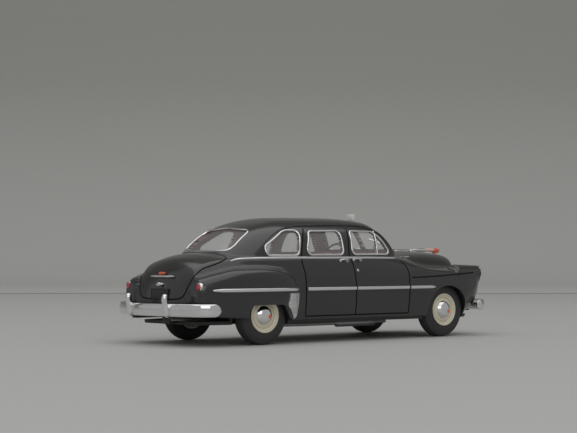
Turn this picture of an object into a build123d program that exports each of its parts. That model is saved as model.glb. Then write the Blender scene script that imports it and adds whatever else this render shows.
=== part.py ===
from build123d import *
from functools import cache
import os

# A 1:43 scale model of a four-door taxi saloon of the early fifties, in millimetres at the model's own
# size.  The front of the car faces -Y, its right-hand side is -X, and the origin lies on the table,
# below the middle of its overall length and width.

# Wheels and axles
REAR_AXLE_Y = 34.3
WHEELBASE = 74.4
FRONT_AXLE_Y = REAR_AXLE_Y - WHEELBASE
FRONT_TRACK = 34.0
REAR_TRACK = 34.9
TYRE_RADIUS = 8.6
TYRE_WIDTH = 4.4
TYRE_SHOULDER = 1.3
RIM_RADIUS = 5.0
RIM_LIP = 0.35
RIM_BAND = 0.55
HUBCAP_RADIUS = 2.95
HUBCAP_DOME = 1.25
AXLE_RADIUS = 0.8
AXLE_GAP = 0.06
HUB_RADIUS = 1.6

# Body shell
WALL = 1.0
SILL_Z = 6.8
NOSE_Y = -59.2
TAIL_Y = 57.2
ARCH_FRONT_Y = FRONT_AXLE_Y - 0.5
ARCH_FRONT_Z = 7.2
ARCH_FRONT_RADIUS = 9.1
ARCH_DEPTH_X = 12.2
ARCH_REAR_TOP_Z = 11.6
ARCH_REAR_FRONT_Y = 26.0
ARCH_REAR_BACK_Y = 42.0
ARCH_REAR_CORNER = 4.5
WELL_RADIUS = TYRE_RADIUS + 0.9
WELL_WALL = 0.8

# Chassis and cabin floor
PLATE_Z = 6.0
PLATE_THICK = 1.0
PLATE_FRONT_Y = -52.0
PLATE_REAR_Y = 54.0
FLOOR_Z = 8.3
FLOOR_THICK = 0.7
TUB_FRONT_Y = -22.5
TUB_REAR_Y = 41.0
TUB_TOP_Z = 23.4
TUB_STEP_Y = 25.0
TUB_STEP_Z = 12.4
FIT_GAP = 0.15
CARRIER_HALF = 10.8
CARRIER_Z = PLATE_Z + PLATE_THICK
SCREW_SPACING = 2 * (min(REAR_AXLE_Y, -FRONT_AXLE_Y) - 6.3)
SCREW_RADIUS = 0.9
SCREW_DEPTH = 4.0
BOSS_RADIUS = 2.2

# Exhaust
EXHAUST_X = -6.6
EXHAUST_Z = 4.7
PIPE_RADIUS = 0.7
SILENCER_RADIUS = 1.2
SILENCER_Y = (-6.0, 14.0)
EXHAUST_PATH = (
    (EXHAUST_X, -24.0, EXHAUST_Z),
    (EXHAUST_X, 55.0, EXHAUST_Z), (EXHAUST_X, 58.4, EXHAUST_Z + 2.4), (EXHAUST_X, 62.8, EXHAUST_Z + 2.4),
)

# Cabin fittings and trim
DASH_Y = 1.3 * WALL - 22.3
WHEEL_X = 7.6
COLUMN_RAKE = 28.0
FRAME_WIDTH = 0.4
SIDE_TRIM_Z = 16.0

# Bumpers
BUMPER_Z = 9.8
BUMPER_HEIGHT = 3.4
BUMPER_THICK = 1.3
FRONT_BUMPER_Y = -64.3
REAR_BUMPER_Y = 64.3
GUARD_X = 9.0
GUARD_Z = (7.4, 13.9)

# Grille and lamps
GRILLE_WIDTH = 25.0
GRILLE_HEIGHT = 6.4
GRILLE_Z = 13.6
GRILLE_BARS = 3
GRILLE_PITCH = 1.4
HEADLAMP_X = 17.0
HEADLAMP_Y = -59.2
HEADLAMP_Z = 19.8
TAIL_LAMP_X = 17.1
TAIL_LAMP_Z = 16.9
SIGN_Y = -14.5


def both(x):
    """The two mirrored x places of a feature."""
    return (-x, x)


# Lower body: one row for each station from nose to tail, with the half section's corner points.
# y, sill x, sill z, side x, side z, crest x, crest z, belt x, belt z, centre top z
BODY_ROWS = (
    (-59.2, 14.4, 9.0, 18.7, 16.5, 17.2, 21.9, 11.0, 21.3, 21.6),
    (-54.0, 17.0, 8.4, 20.0, 15.8, 18.2, 22.4, 11.8, 21.9, 22.3),
    (-46.0, 19.6, 7.6, 20.9, 15.0, 18.9, 22.6, 12.8, 22.2, 23.2),
    (-34.0, 20.0, SILL_Z, 21.0, 14.8, 19.5, 22.5, 14.6, 22.9, 24.6),
    (-24.0, 19.9, SILL_Z, 20.9, 14.8, 19.8, 22.3, 17.2, 24.7, 26.2),
    (-10.0, 19.8, SILL_Z, 20.9, 14.8, 20.1, 22.0, 18.3, 25.1, 26.0),
    (8.0, 19.8, SILL_Z, 20.9, 14.8, 20.2, 21.8, 18.5, 25.2, 26.0),
    (24.0, 19.7, SILL_Z, 20.7, 14.8, 20.0, 21.8, 18.3, 25.2, 26.2),
    (38.0, 18.6, 7.2, 19.6, 14.8, 18.9, 21.3, 16.6, 25.0, 26.6),
    (47.0, 16.8, 7.8, 17.8, 14.4, 17.0, 20.2, 14.4, 23.9, 25.8),
    (53.5, 14.6, 8.4, 15.6, 14.0, 14.9, 19.0, 12.4, 21.7, 23.6),
    (TAIL_Y, 12.4, 9.2, 13.2, 13.4, 12.5, 16.8, 10.2, 18.4, 19.8),
)

# Bonnet: y, half width at the foot, foot z, centre top z, corner radius
BONNET_ROWS = (
    (-61.3, 5.2, 17.0, 22.6, 2.4),
    (-59.8, 7.0, 17.0, 24.4, 3.0),
    (-56.0, 9.0, 17.0, 26.1, 3.6),
    (-50.0, 10.8, 17.5, 26.9, 4.0),
    (-38.0, 13.2, 18.0, 27.4, 4.4),
    (-23.5, 15.6, 18.0, 27.4, 4.6),
)

# Cabin: one row for each height, with the plan outline's corner points and radii.
# z, screen centre y, front pillar x, front pillar y, side x, rear corner x, rear corner y,
# rear window centre y, front corner radius, rear corner radius
CABIN_ROWS = (
    (22.0, -26.6, 18.0, -23.2, 18.5, 17.2, 44.6, 46.8, 2.6, 9.0),
    (25.6, -24.3, 17.4, -20.7, 17.9, 16.6, 41.8, 43.6, 2.6, 9.0),
    (29.6, -21.4, 16.2, -17.8, 16.8, 15.6, 37.6, 39.4, 2.8, 8.6),
    (33.4, -18.2, 14.8, -14.6, 15.3, 14.2, 32.6, 34.4, 3.2, 8.2),
    (35.6, -14.6, 12.9, -11.6, 13.3, 12.3, 27.8, 29.6, 4.2, 7.6),
    (36.9, -9.0, 9.9, -6.6, 10.2, 9.4, 21.4, 23.0, 4.6, 6.4),
    (37.6, 0.0, 5.4, 1.2, 5.6, 5.2, 12.6, 13.4, 2.6, 3.4),
)


# Rear wing: y, outer x, top z, bottom z
WING_ROWS = (
    (22.6, 20.5, 18.4, 10.0),
    (24.2, 21.5, 20.6, 7.6),
    (28.0, 22.0, 21.9, 7.4),
    (35.0, 22.1, 22.3, 7.6),
    (43.0, 21.8, 22.0, 7.9),
    (50.5, 20.2, 20.6, 8.3),
    (57.0, 18.6, 18.9, 9.6),
)
WING_INNER_X = 15.0

# Side window outlines in the side view, corner by corner: y, z
FRONT_WINDOW = ((-18.1, 26.4), (-3.6, 26.2), (-3.6, 33.4), (-13.7, 33.4))
REAR_WINDOW = ((0.4, 26.2), (15.8, 26.1), (13.4, 33.4), (0.3, 33.4))
QUARTER_WINDOW = ((18.5, 26.1), (31.4, 25.9), (29.4, 29.8), (22.8, 32.3), (16.8, 32.8))
WINDOW_FILLET = 0.7
SCREEN_FOOT = (14.6, 27.5)
SCREEN_HEAD = (12.2, 33.4)
BACKLIGHT_FOOT = (11.4, 27.6)
BACKLIGHT_HEAD = (10.2, 33.0)
GLASS_INSET = 0.3
GLASS_THICK = 0.5
GLASS_GAP = 0.1
TRIM_GAP = 0.06
TRIM_THICK = 0.4


@cache
def body_solid(inset=0.0):
    """The lower body's solid, drawn inwards by inset on every side but its underside."""
    squeeze = (TAIL_Y - NOSE_Y - 2 * inset) / (TAIL_Y - NOSE_Y)
    middle = (TAIL_Y + NOSE_Y) / 2
    below = 4.0 if inset > 0 else 0.0
    with BuildPart() as solid:
        for y, sill_x, sill_z, side_x, side_z, crest_x, crest_z, belt_x, belt_z, top_z in BODY_ROWS:
            station = middle + (y - middle) * squeeze
            sill = (sill_x - inset - below / 4, sill_z - below)
            side = (side_x - inset, side_z)
            crest = (crest_x - inset, crest_z - inset)
            belt = (belt_x - inset, belt_z - inset)
            top = (0, top_z - inset)
            with BuildSketch(Plane.XZ.offset(-station)):
                with BuildLine():
                    Line((-sill[0], sill[1]), sill)
                    ThreePointArc(sill, side, crest)
                    Line(crest, belt)
                    ThreePointArc(belt, top, (-belt[0], belt[1]))
                    Line((-belt[0], belt[1]), (-crest[0], crest[1]))
                    ThreePointArc((-crest[0], crest[1]), (-side[0], side[1]), (-sill[0], sill[1]))
                make_face()
        loft()
    return solid.part


@cache
def bonnet_solid(inset=0.0):
    """The raised bonnet between the front wings, drawn inwards by inset."""
    with BuildPart() as solid:
        for y, half, foot_z, top_z, radius in (BONNET_ROWS[1:] if inset > 0 else BONNET_ROWS):
            ends = {BONNET_ROWS[1][0]: 1.8, BONNET_ROWS[-1][0]: -3.5} if inset > 0 else {}
            station = y + ends.get(y, 0) * inset
            half, top_z = half - inset, top_z - inset
            crown = 0.12 * half
            shoulder = (half, top_z - crown - 0.9)
            with BuildSketch(Plane.XZ.offset(-station)) as profile:
                with BuildLine():
                    Line((-half, foot_z), (half, foot_z))
                    Line((half, foot_z), shoulder)
                    ThreePointArc(shoulder, (0, top_z), (-shoulder[0], shoulder[1]))
                    Line((-shoulder[0], shoulder[1]), (-half, foot_z))
                make_face()
                fillet(profile.vertices().group_by(Axis.Y)[-1], min(radius, 0.55 * half))
        loft()
    return solid.part


@cache
def cabin_solid(inset=0.0):
    """The cabin above the waistline, drawn inwards by inset."""
    height = CABIN_ROWS[-1][0] - CABIN_ROWS[0][0]
    squeeze = (height - inset) / height
    with BuildPart() as solid:
        for z, screen_y, a_x, a_y, side_x, c_x, c_y, rear_y, a_r, c_r in CABIN_ROWS:
            level = CABIN_ROWS[0][0] + (z - CABIN_ROWS[0][0]) * squeeze
            a_x, side_x, c_x = a_x - inset, side_x - inset, c_x - inset
            screen_y, a_y = screen_y + 1.2 * inset, a_y + 1.2 * inset
            c_y, rear_y = c_y - 1.2 * inset, rear_y - 1.2 * inset
            middle_y = (a_y + c_y) / 2
            with BuildSketch(Plane.XY.offset(level)) as outline:
                with BuildLine():
                    Line((-a_x, a_y), (0, screen_y))
                    Line((0, screen_y), (a_x, a_y))
                    ThreePointArc((a_x, a_y), (side_x, middle_y), (c_x, c_y))
                    ThreePointArc((c_x, c_y), (0, rear_y), (-c_x, c_y))
                    ThreePointArc((-c_x, c_y), (-side_x, middle_y), (-a_x, a_y))
                make_face()
                corners = outline.vertices().filter_by(lambda v: abs(v.X) > 1.0)
                fillet(corners.filter_by(lambda v: v.Y < middle_y), a_r)
                corners = outline.vertices().filter_by(lambda v: abs(v.X) > 1.0 and v.Y > middle_y)
                fillet(corners, c_r)
        loft()
    return solid.part


@cache
def wing_solids(inset=0.0):
    """The pair of rear wings, drawn inwards by inset."""
    with BuildPart() as pair:
        for y, outer_x, top_z, bottom_z in WING_ROWS:
            outer_x, top_z = outer_x - inset, top_z - inset
            middle_z = (top_z + bottom_z) / 2
            brow = (outer_x - 0.9, top_z - 1.8)
            with BuildSketch(Plane.XZ.offset(-y)):
                with BuildLine():
                    Line((WING_INNER_X, bottom_z), (outer_x - 0.7, bottom_z))
                    ThreePointArc((outer_x - 0.7, bottom_z), (outer_x, middle_z - 0.5), brow)
                    ThreePointArc(brow, (outer_x - 1.6, top_z - 0.6), (outer_x - 3.0, top_z))
                    Line((outer_x - 3.0, top_z), (WING_INNER_X, top_z))
                    Line((WING_INNER_X, top_z), (WING_INNER_X, bottom_z))
                make_face()
        loft()
        mirror(about=Plane.YZ)
    return pair.part


@cache
def outer_solid(inset=0.0):
    """The whole outside of the lower body with its wings."""
    with BuildPart() as solid:
        add(body_solid(inset))
        add(wing_solids(inset))
    return solid.part


def skin(shape, gap=TRIM_GAP, thick=TRIM_THICK):
    """A thin layer that lies just outside a shape, from which its trim is cut."""
    with BuildPart() as layer:
        add(shape(-gap - thick))
        add(shape(-gap), mode=Mode.SUBTRACT)
    return layer.part


def pane_layer():
    """The layer inside the cabin wall in which its glass lies."""
    with BuildPart() as layer:
        add(cabin_solid(GLASS_INSET))
        add(cabin_solid(GLASS_INSET + GLASS_THICK), mode=Mode.SUBTRACT)
    return layer.part


def window_prisms(corners, grow=0.0):
    """A side window's outline, carried through both sides of the cabin."""
    with BuildPart() as prisms:
        with BuildSketch(Plane.YZ) as outline:
            Polygon(*corners, align=None)
            fillet(outline.vertices(), WINDOW_FILLET)
            if grow:
                offset(amount=grow)
        extrude(amount=25, both=True)
        with Locations((0, 5, 30)):
            Box(18, 70, 20, mode=Mode.SUBTRACT)
    return prisms.part


def end_window_prism(foot, head, direction, grow=0.0):
    """The outline of the windscreen or rear window, carried fore and aft through its own end only."""
    with BuildPart() as prism:
        with BuildSketch(Plane.XZ.offset(-10 * direction)) as outline:
            Polygon((-foot[0], foot[1]), foot, head, (-head[0], head[1]), align=None)
            fillet(outline.vertices(), 1.4)
            if grow:
                offset(amount=grow)
        extrude(amount=-50 * direction)
    return prism.part


def wheel_cylinders(radius, inner_x, outer_x, front_outer_x):
    """The four spaces about the wheels, of the given radius, between two planes on each side."""
    with BuildPart() as spaces:
        for y, end_x in ((FRONT_AXLE_Y, front_outer_x), (REAR_AXLE_Y, outer_x)):
            for side in both(1):
                with Locations(Location((side * (inner_x + end_x) / 2, y, TYRE_RADIUS), (0, 90, 0))):
                    Cylinder(radius, end_x - inner_x)
    return spaces.part


os.makedirs("parts", exist_ok=True)
parts = {}

# Body shell, one casting with its windows, wheel arches and hollow inside
with BuildPart() as body_shell:
    add(outer_solid())
    add(bonnet_solid())
    add(cabin_solid())
    for side in both(1):
        with BuildSketch(Plane.XZ.offset(48.0)):
            with Locations((side * 16.6, 19.2)):
                Circle(3.3)
        with BuildSketch(Plane.XZ.offset(59.0)):
            with Locations((side * 17.0, 19.8)):
                Circle(2.7)
        loft()
    add(body_solid(WALL), mode=Mode.SUBTRACT)
    add(bonnet_solid(WALL), mode=Mode.SUBTRACT)
    add(cabin_solid(WALL), mode=Mode.SUBTRACT)
    add(wheel_cylinders(WELL_RADIUS, ARCH_DEPTH_X, 20.4, 20.0), mode=Mode.SUBTRACT)
    with BuildSketch(Plane.YZ):
        with Locations((ARCH_FRONT_Y, ARCH_FRONT_Z)):
            Circle(ARCH_FRONT_RADIUS)
        with BuildSketch(mode=Mode.PRIVATE) as rear_arch:
            Polygon(
                (ARCH_REAR_FRONT_Y, 0), (ARCH_REAR_BACK_Y, 0),
                (ARCH_REAR_BACK_Y, ARCH_REAR_TOP_Z), (ARCH_REAR_FRONT_Y, ARCH_REAR_TOP_Z), align=None,
            )
            fillet(rear_arch.vertices().group_by(Axis.Y)[-1], ARCH_REAR_CORNER)
        add(rear_arch.sketch)
    extrude(amount=30, both=True, mode=Mode.SUBTRACT)
    for corners in (FRONT_WINDOW, REAR_WINDOW, QUARTER_WINDOW):
        add(window_prisms(corners), mode=Mode.SUBTRACT)
    add(end_window_prism(SCREEN_FOOT, SCREEN_HEAD, -1), mode=Mode.SUBTRACT)
    add(end_window_prism(BACKLIGHT_FOOT, BACKLIGHT_HEAD, 1), mode=Mode.SUBTRACT)
parts["body_shell"] = body_shell.part

# Chassis plate with its wheel wells, screw bosses and bumper arms
with BuildPart() as chassis_plate:
    with Locations((0, (PLATE_FRONT_Y + PLATE_REAR_Y) / 2, PLATE_Z + PLATE_THICK / 2)):
        Box(60, PLATE_REAR_Y - PLATE_FRONT_Y, PLATE_THICK)
    add(wheel_cylinders(WELL_RADIUS + WELL_WALL, ARCH_DEPTH_X - WELL_WALL, 20.0, 20.0))
    with Locations((0, 0, PLATE_Z - 10)):
        Box(60, 130, 20, mode=Mode.SUBTRACT)
    add(wheel_cylinders(WELL_RADIUS, ARCH_DEPTH_X, 30.0, 30.0), mode=Mode.SUBTRACT)
    for y in (FRONT_AXLE_Y, REAR_AXLE_Y):
        with Locations(Location((0, y, TYRE_RADIUS), (0, 90, 0))):
            Cylinder(AXLE_RADIUS + 0.6, 30, mode=Mode.SUBTRACT)
        with Locations((0, y, PLATE_Z)):
            Box(2 * CARRIER_HALF, 7.0, 4 * PLATE_THICK, mode=Mode.SUBTRACT)
        for side in both(ARCH_DEPTH_X + 10):
            with Locations((side, y, PLATE_Z)):
                Box(20, 2 * WELL_RADIUS, 4 * PLATE_THICK, mode=Mode.SUBTRACT)
    add(body_solid(WALL + FIT_GAP), mode=Mode.INTERSECT)
    for y in both(SCREW_SPACING / 2):
        with Locations((0, y, PLATE_Z + (SCREW_DEPTH + 1) / 2)):
            Cylinder(BOSS_RADIUS, SCREW_DEPTH + 1)
        with Locations((0, y, PLATE_Z + SCREW_DEPTH / 2)):
            Cylinder(SCREW_RADIUS, SCREW_DEPTH, mode=Mode.SUBTRACT)
parts["chassis_plate"] = chassis_plate.part

# Front cross member with its spring towers, and the axle's bore
with BuildPart() as front_suspension:
    with BuildSketch(Plane.YZ.offset(-CARRIER_HALF + 0.2)):
        with Locations((FRONT_AXLE_Y, (CARRIER_Z + TYRE_RADIUS + 1.6) / 2)):
            RectangleRounded(5.0, TYRE_RADIUS + 1.6 - CARRIER_Z, 0.8)
    extrude(amount=2 * CARRIER_HALF - 0.4)
    for side in both(7.6):
        with Locations((side, FRONT_AXLE_Y, TYRE_RADIUS + 3.4)):
            Cylinder(1.9, 4.4)
        with Locations((side, FRONT_AXLE_Y, CARRIER_Z + 0.5)):
            Box(2.0, 10.0, 1.0)
    with Locations(Location((0, FRONT_AXLE_Y, TYRE_RADIUS), (0, 90, 0))):
        Cylinder(AXLE_RADIUS + AXLE_GAP, 40, mode=Mode.SUBTRACT)
parts["front_suspension"] = front_suspension.part

# Rear axle casing with its differential and leaf springs, and the axle's bore
with BuildPart() as rear_axle_housing:
    with Locations(Location((0, REAR_AXLE_Y, TYRE_RADIUS), (0, 90, 0))):
        Cylinder(1.45, 2 * CARRIER_HALF - 0.4)
    with Locations(Location((0, REAR_AXLE_Y, TYRE_RADIUS), (0, 90, 0))):
        Sphere(2.7)
    for side in both(8.4):
        with Locations((side, REAR_AXLE_Y, CARRIER_Z + 0.55)):
            Box(1.8, 20.0, 1.1)
    with Locations(Location((0, REAR_AXLE_Y, TYRE_RADIUS), (0, 90, 0))):
        Cylinder(AXLE_RADIUS + AXLE_GAP, 40, mode=Mode.SUBTRACT)
parts["rear_axle_housing"] = rear_axle_housing.part

# Exhaust, below the right-hand side of the plate
with BuildPart() as exhaust_pipe:
    with BuildLine():
        FilletPolyline(*EXHAUST_PATH, radius=1.6)
    with BuildSketch(Plane(EXHAUST_PATH[0], z_dir=(0, 1, 0))):
        Circle(PIPE_RADIUS)
    sweep()
    with Locations(Location((EXHAUST_X, (SILENCER_Y[0] + SILENCER_Y[1]) / 2, EXHAUST_Z), (90, 0, 0))):
        Cylinder(SILENCER_RADIUS, SILENCER_Y[1] - SILENCER_Y[0])
    fillet(exhaust_pipe.edges().filter_by(GeomType.CIRCLE).sort_by(lambda e: -e.radius)[0:2], 0.4)
parts["exhaust_pipe"] = exhaust_pipe.part

# Interior tub: floor, side linings and the step over the rear axle
with BuildPart() as interior_tub:
    with Locations((0, (TUB_FRONT_Y + TUB_REAR_Y) / 2, (FLOOR_Z + TUB_TOP_Z) / 2)):
        Box(34.4, TUB_REAR_Y - TUB_FRONT_Y, TUB_TOP_Z - FLOOR_Z)
    with Locations((0, (TUB_STEP_Y + TUB_REAR_Y) / 2 + 1, (FLOOR_Z + TUB_STEP_Z) / 2 - 1)):
        Box(40, TUB_REAR_Y - TUB_STEP_Y + 2, TUB_STEP_Z - FLOOR_Z + 2, mode=Mode.SUBTRACT)
    with BuildSketch(Plane.YZ.offset(-16.4)):
        Polygon(
            (TUB_FRONT_Y + FLOOR_THICK, FLOOR_Z + FLOOR_THICK),
            (TUB_STEP_Y - FLOOR_THICK, FLOOR_Z + FLOOR_THICK),
            (TUB_STEP_Y - FLOOR_THICK, TUB_STEP_Z + FLOOR_THICK),
            (TUB_REAR_Y - FLOOR_THICK, TUB_STEP_Z + FLOOR_THICK),
            (TUB_REAR_Y - FLOOR_THICK, 40),
            (TUB_FRONT_Y + FLOOR_THICK, 40),
            align=None,
        )
    extrude(amount=32.8, mode=Mode.SUBTRACT)
    well_room = WELL_WALL + FIT_GAP
    add(wheel_cylinders(WELL_RADIUS + well_room, ARCH_DEPTH_X - well_room, 40, 40), mode=Mode.SUBTRACT)
    add(body_solid(WALL + FIT_GAP), mode=Mode.INTERSECT)
parts["interior_tub"] = interior_tub.part


def bench(blocks, lean):
    """A bench seat from its blocks: half width, y from, y to, z from, z to; all but the first lean back."""
    with BuildPart() as seat:
        for half, y0, y1, z0, z1 in blocks:
            tilt = 0 if (half, y0, y1, z0, z1) == blocks[0] else -lean
            with BuildSketch(Plane.YZ.offset(-half)):
                with Locations(Location(((y0 + y1) / 2, (z0 + z1) / 2, 0), (0, 0, tilt))):
                    RectangleRounded(y1 - y0, z1 - z0, 1.0)
            extrude(amount=2 * half)
    return seat.part


FRONT_BENCH = ((15.4, -8.0, 1.4, FLOOR_Z + FLOOR_THICK + 0.05, 16.0), (15.4, 0.8, 4.0, 12.0, 26.6))
REAR_BENCH = (
    (11.1, 25.2, 35.0, TUB_STEP_Z + FLOOR_THICK + 0.05, 18.0),
    (13.2, 31.6, 34.8, 19.6, 26.6),
    (11.1, 31.2, 34.4, 15.0, 23.0),
)
parts["front_seat"] = bench(FRONT_BENCH, 8)
parts["rear_seat"] = bench(REAR_BENCH, 8)

# Dashboard with its cowl
with BuildPart() as dashboard:
    with BuildSketch(Plane.YZ.offset(WALL - 15.4)):
        Polygon(
            (DASH_Y, 17.6), (DASH_Y + 0.8, 17.6), (DASH_Y + 2.8, 20.6),
            (DASH_Y + 2.8, 23.4), (DASH_Y + 1.6, 24.4), (DASH_Y, 24.4), align=None,
        )
    extrude(amount=2 * (15.4 - WALL))
    with Locations((WHEEL_X, DASH_Y + 2.2, 24.4)):
        Box(5.0, 1.8, 1.4)
parts["dashboard"] = dashboard.part

# Steering wheel with its spokes, and the column that runs down to the dashboard
with BuildPart() as steering_wheel:
    with Locations(Location((WHEEL_X, -13.2, 22.6), (90 + COLUMN_RAKE, 0, 0))):
        Torus(4.4, 0.32)
        Cylinder(0.8, 0.8)
        Box(8.8, 0.6, 0.4)
        Cylinder(0.45, 5.9, align=(Align.CENTER, Align.CENTER, Align.MIN))
parts["steering_wheel"] = steering_wheel.part

# Glazing, cut from the layer inside the cabin wall
layer = pane_layer()
with BuildPart() as windscreen:
    add(layer)
    add(end_window_prism(SCREEN_FOOT, SCREEN_HEAD, -1, -GLASS_GAP), mode=Mode.INTERSECT)
parts["windscreen"] = windscreen.part
with BuildPart() as rear_window:
    add(layer)
    add(end_window_prism(BACKLIGHT_FOOT, BACKLIGHT_HEAD, 1, -GLASS_GAP), mode=Mode.INTERSECT)
parts["rear_window"] = rear_window.part
with BuildPart() as side_panes:
    for corners in (FRONT_WINDOW, REAR_WINDOW, QUARTER_WINDOW):
        add(window_prisms(corners, -GLASS_GAP))
    add(layer, mode=Mode.INTERSECT)
parts["side_windows"] = side_panes.part

# Chromed surrounds, cut from the layer outside the cabin wall
layer = skin(cabin_solid)
with BuildPart() as windscreen_frame:
    add(end_window_prism(SCREEN_FOOT, SCREEN_HEAD, -1, FRAME_WIDTH))
    add(end_window_prism(SCREEN_FOOT, SCREEN_HEAD, -1), mode=Mode.SUBTRACT)
    with Locations((0, -30, (SCREEN_FOOT[1] + SCREEN_HEAD[1]) / 2)):
        Box(0.7, 40, SCREEN_HEAD[1] - SCREEN_FOOT[1] + FRAME_WIDTH)
    add(layer, mode=Mode.INTERSECT)
    add(bonnet_solid(-TRIM_GAP), mode=Mode.SUBTRACT)
parts["windscreen_frame"] = windscreen_frame.part
with BuildPart() as rear_window_frame:
    add(end_window_prism(BACKLIGHT_FOOT, BACKLIGHT_HEAD, 1, FRAME_WIDTH))
    add(end_window_prism(BACKLIGHT_FOOT, BACKLIGHT_HEAD, 1), mode=Mode.SUBTRACT)
    add(layer, mode=Mode.INTERSECT)
parts["rear_window_frame"] = rear_window_frame.part
with BuildPart() as side_frames:
    for corners in (FRONT_WINDOW, REAR_WINDOW, QUARTER_WINDOW):
        add(window_prisms(corners, FRAME_WIDTH))
        add(window_prisms(corners), mode=Mode.SUBTRACT)
    add(layer, mode=Mode.INTERSECT)
parts["side_window_frames"] = side_frames.part

# Mouldings and gravel shields, cut from the layer outside the lower body
layer = skin(outer_solid)
with BuildPart() as side_mouldings:
    with BuildSketch(Plane.YZ):
        Polygon(
            (-34.4, SIDE_TRIM_Z), (-31.5, SIDE_TRIM_Z - 0.5), (50.5, SIDE_TRIM_Z - 0.5),
            (53.3, SIDE_TRIM_Z), (50.5, SIDE_TRIM_Z + 0.5), (-31.5, SIDE_TRIM_Z + 0.5), align=None,
        )
    extrude(amount=30, both=True)
    with Locations((0, 20.7, SIDE_TRIM_Z)):
        Box(80, 3.4, 4, mode=Mode.SUBTRACT)
    add(layer, mode=Mode.INTERSECT)
parts["side_mouldings"] = side_mouldings.part
with BuildPart() as gravel_shields:
    with BuildSketch(Plane.YZ):
        Polygon(
            (22.9, 14.8), (26.6, 14.8), (27.3, 12.6), (26.9, 11.2),
            (25.7, 9.6), (25.2, 7.8), (23.4, 8.0), (22.9, 10.0), align=None,
        )
    extrude(amount=30, both=True)
    add(layer, mode=Mode.INTERSECT)
parts["gravel_shields"] = gravel_shields.part


def bumper(z, middle_y, corner, tip, arm_y):
    """A wrapped bumper blade with its pair of guards and the arms that rest on the plate."""
    direction = 1 if middle_y > 0 else -1
    with BuildPart() as blade:
        with BuildLine(Plane.XY.offset(z)) as path:
            face = ThreePointArc((-corner[0], corner[1]), (0, middle_y), corner)
            turn = TangentArc(corner, tip, tangent=face % 1)
            mirror(turn, about=Plane.YZ)
        wire = path.wire()
        with BuildSketch(Plane(origin=wire @ 0, x_dir=(0, 0, 1), z_dir=wire % 0)):
            RectangleRounded(BUMPER_HEIGHT, BUMPER_THICK, 0.5)
        sweep()
        guard_y = middle_y - direction * 0.9
        for side in both(GUARD_X):
            with BuildSketch(Plane.XY.offset(GUARD_Z[0])):
                with Locations((side, guard_y)):
                    RectangleRounded(2.3, 2.6, 0.9)
            extrude(amount=GUARD_Z[1] - GUARD_Z[0], taper=4)
            with Locations((side, (guard_y + arm_y) / 2, CARRIER_Z + 0.65)):
                Box(1.8, abs(guard_y - arm_y), 1.2)
    return blade.part


front_y = FRONT_BUMPER_Y + BUMPER_THICK / 2
parts["front_bumper"] = bumper(BUMPER_Z, front_y, (15.6, -61.8), (20.4, -54.0), -46.0)
rear_y = REAR_BUMPER_Y - BUMPER_THICK / 2
parts["rear_bumper"] = bumper(BUMPER_Z + 0.5, rear_y, (16.5, 61.4), (21.4, 52.0), 48.0)

# Grille: a frame with level bars across the nose
with BuildPart() as grille:
    with BuildSketch(Plane.XZ.offset(-NOSE_Y + TRIM_GAP)):
        with Locations((0, GRILLE_Z)):
            RectangleRounded(GRILLE_WIDTH, GRILLE_HEIGHT, 2.2)
            RectangleRounded(GRILLE_WIDTH - 1.4, GRILLE_HEIGHT - 1.4, 1.5, mode=Mode.SUBTRACT)
            with GridLocations(0, GRILLE_PITCH, 1, GRILLE_BARS):
                Rectangle(GRILLE_WIDTH - 1.0, 0.45)
            with GridLocations(GRILLE_WIDTH / 5, 0, 4, 1):
                Rectangle(0.5, GRILLE_HEIGHT - 1.0)
    extrude(amount=0.9)
parts["grille"] = grille.part


def lamp_rings(places, outer_r, inner_r, face_y, depth, direction):
    """A pair of bezels on a face, standing out by depth."""
    with BuildPart() as rings:
        with BuildSketch(Plane.XZ.offset(-face_y)):
            for x, z in places:
                with Locations((x, z)):
                    Circle(outer_r)
                    Circle(inner_r, mode=Mode.SUBTRACT)
        extrude(amount=-depth * direction)
    return rings.part


def lamp_lenses(places, radius, face_y, depth, direction):
    """A pair of domed lenses on a face."""
    with BuildPart() as lenses:
        for x, z in places:
            face = Plane((x, face_y, z), x_dir=(1, 0, 0), z_dir=(0, direction, 0))
            with BuildSketch(face):
                Circle(radius)
            extrude(amount=depth * 0.5)
            with BuildSketch(face.offset(depth * 0.5)):
                Circle(radius)
            extrude(amount=depth * 0.5, taper=40)
    return lenses.part


HEAD_PLACES = tuple((x, HEADLAMP_Z) for x in both(HEADLAMP_X))
TAIL_PLACES = tuple((x, TAIL_LAMP_Z) for x in both(TAIL_LAMP_X))
PARK_PLACES = tuple((x, 15.2) for x in both(16.2))
parts["headlamp_rims"] = lamp_rings(HEAD_PLACES, 2.4, 1.9, HEADLAMP_Y - TRIM_GAP, 0.8, -1)
parts["headlamp_lenses"] = lamp_lenses(HEAD_PLACES, 1.84, HEADLAMP_Y - TRIM_GAP, 1.0, -1)
parts["parking_lamps"] = lamp_lenses(PARK_PLACES, 0.8, NOSE_Y - TRIM_GAP, 0.7, -1)
parts["tail_lamp_bezels"] = lamp_rings(TAIL_PLACES, 1.35, 1.0, WING_ROWS[-1][0] + TRIM_GAP, 0.6, 1)
parts["tail_lamp_lenses"] = lamp_lenses(TAIL_PLACES, 0.94, WING_ROWS[-1][0] + TRIM_GAP, 0.9, 1)

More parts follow.
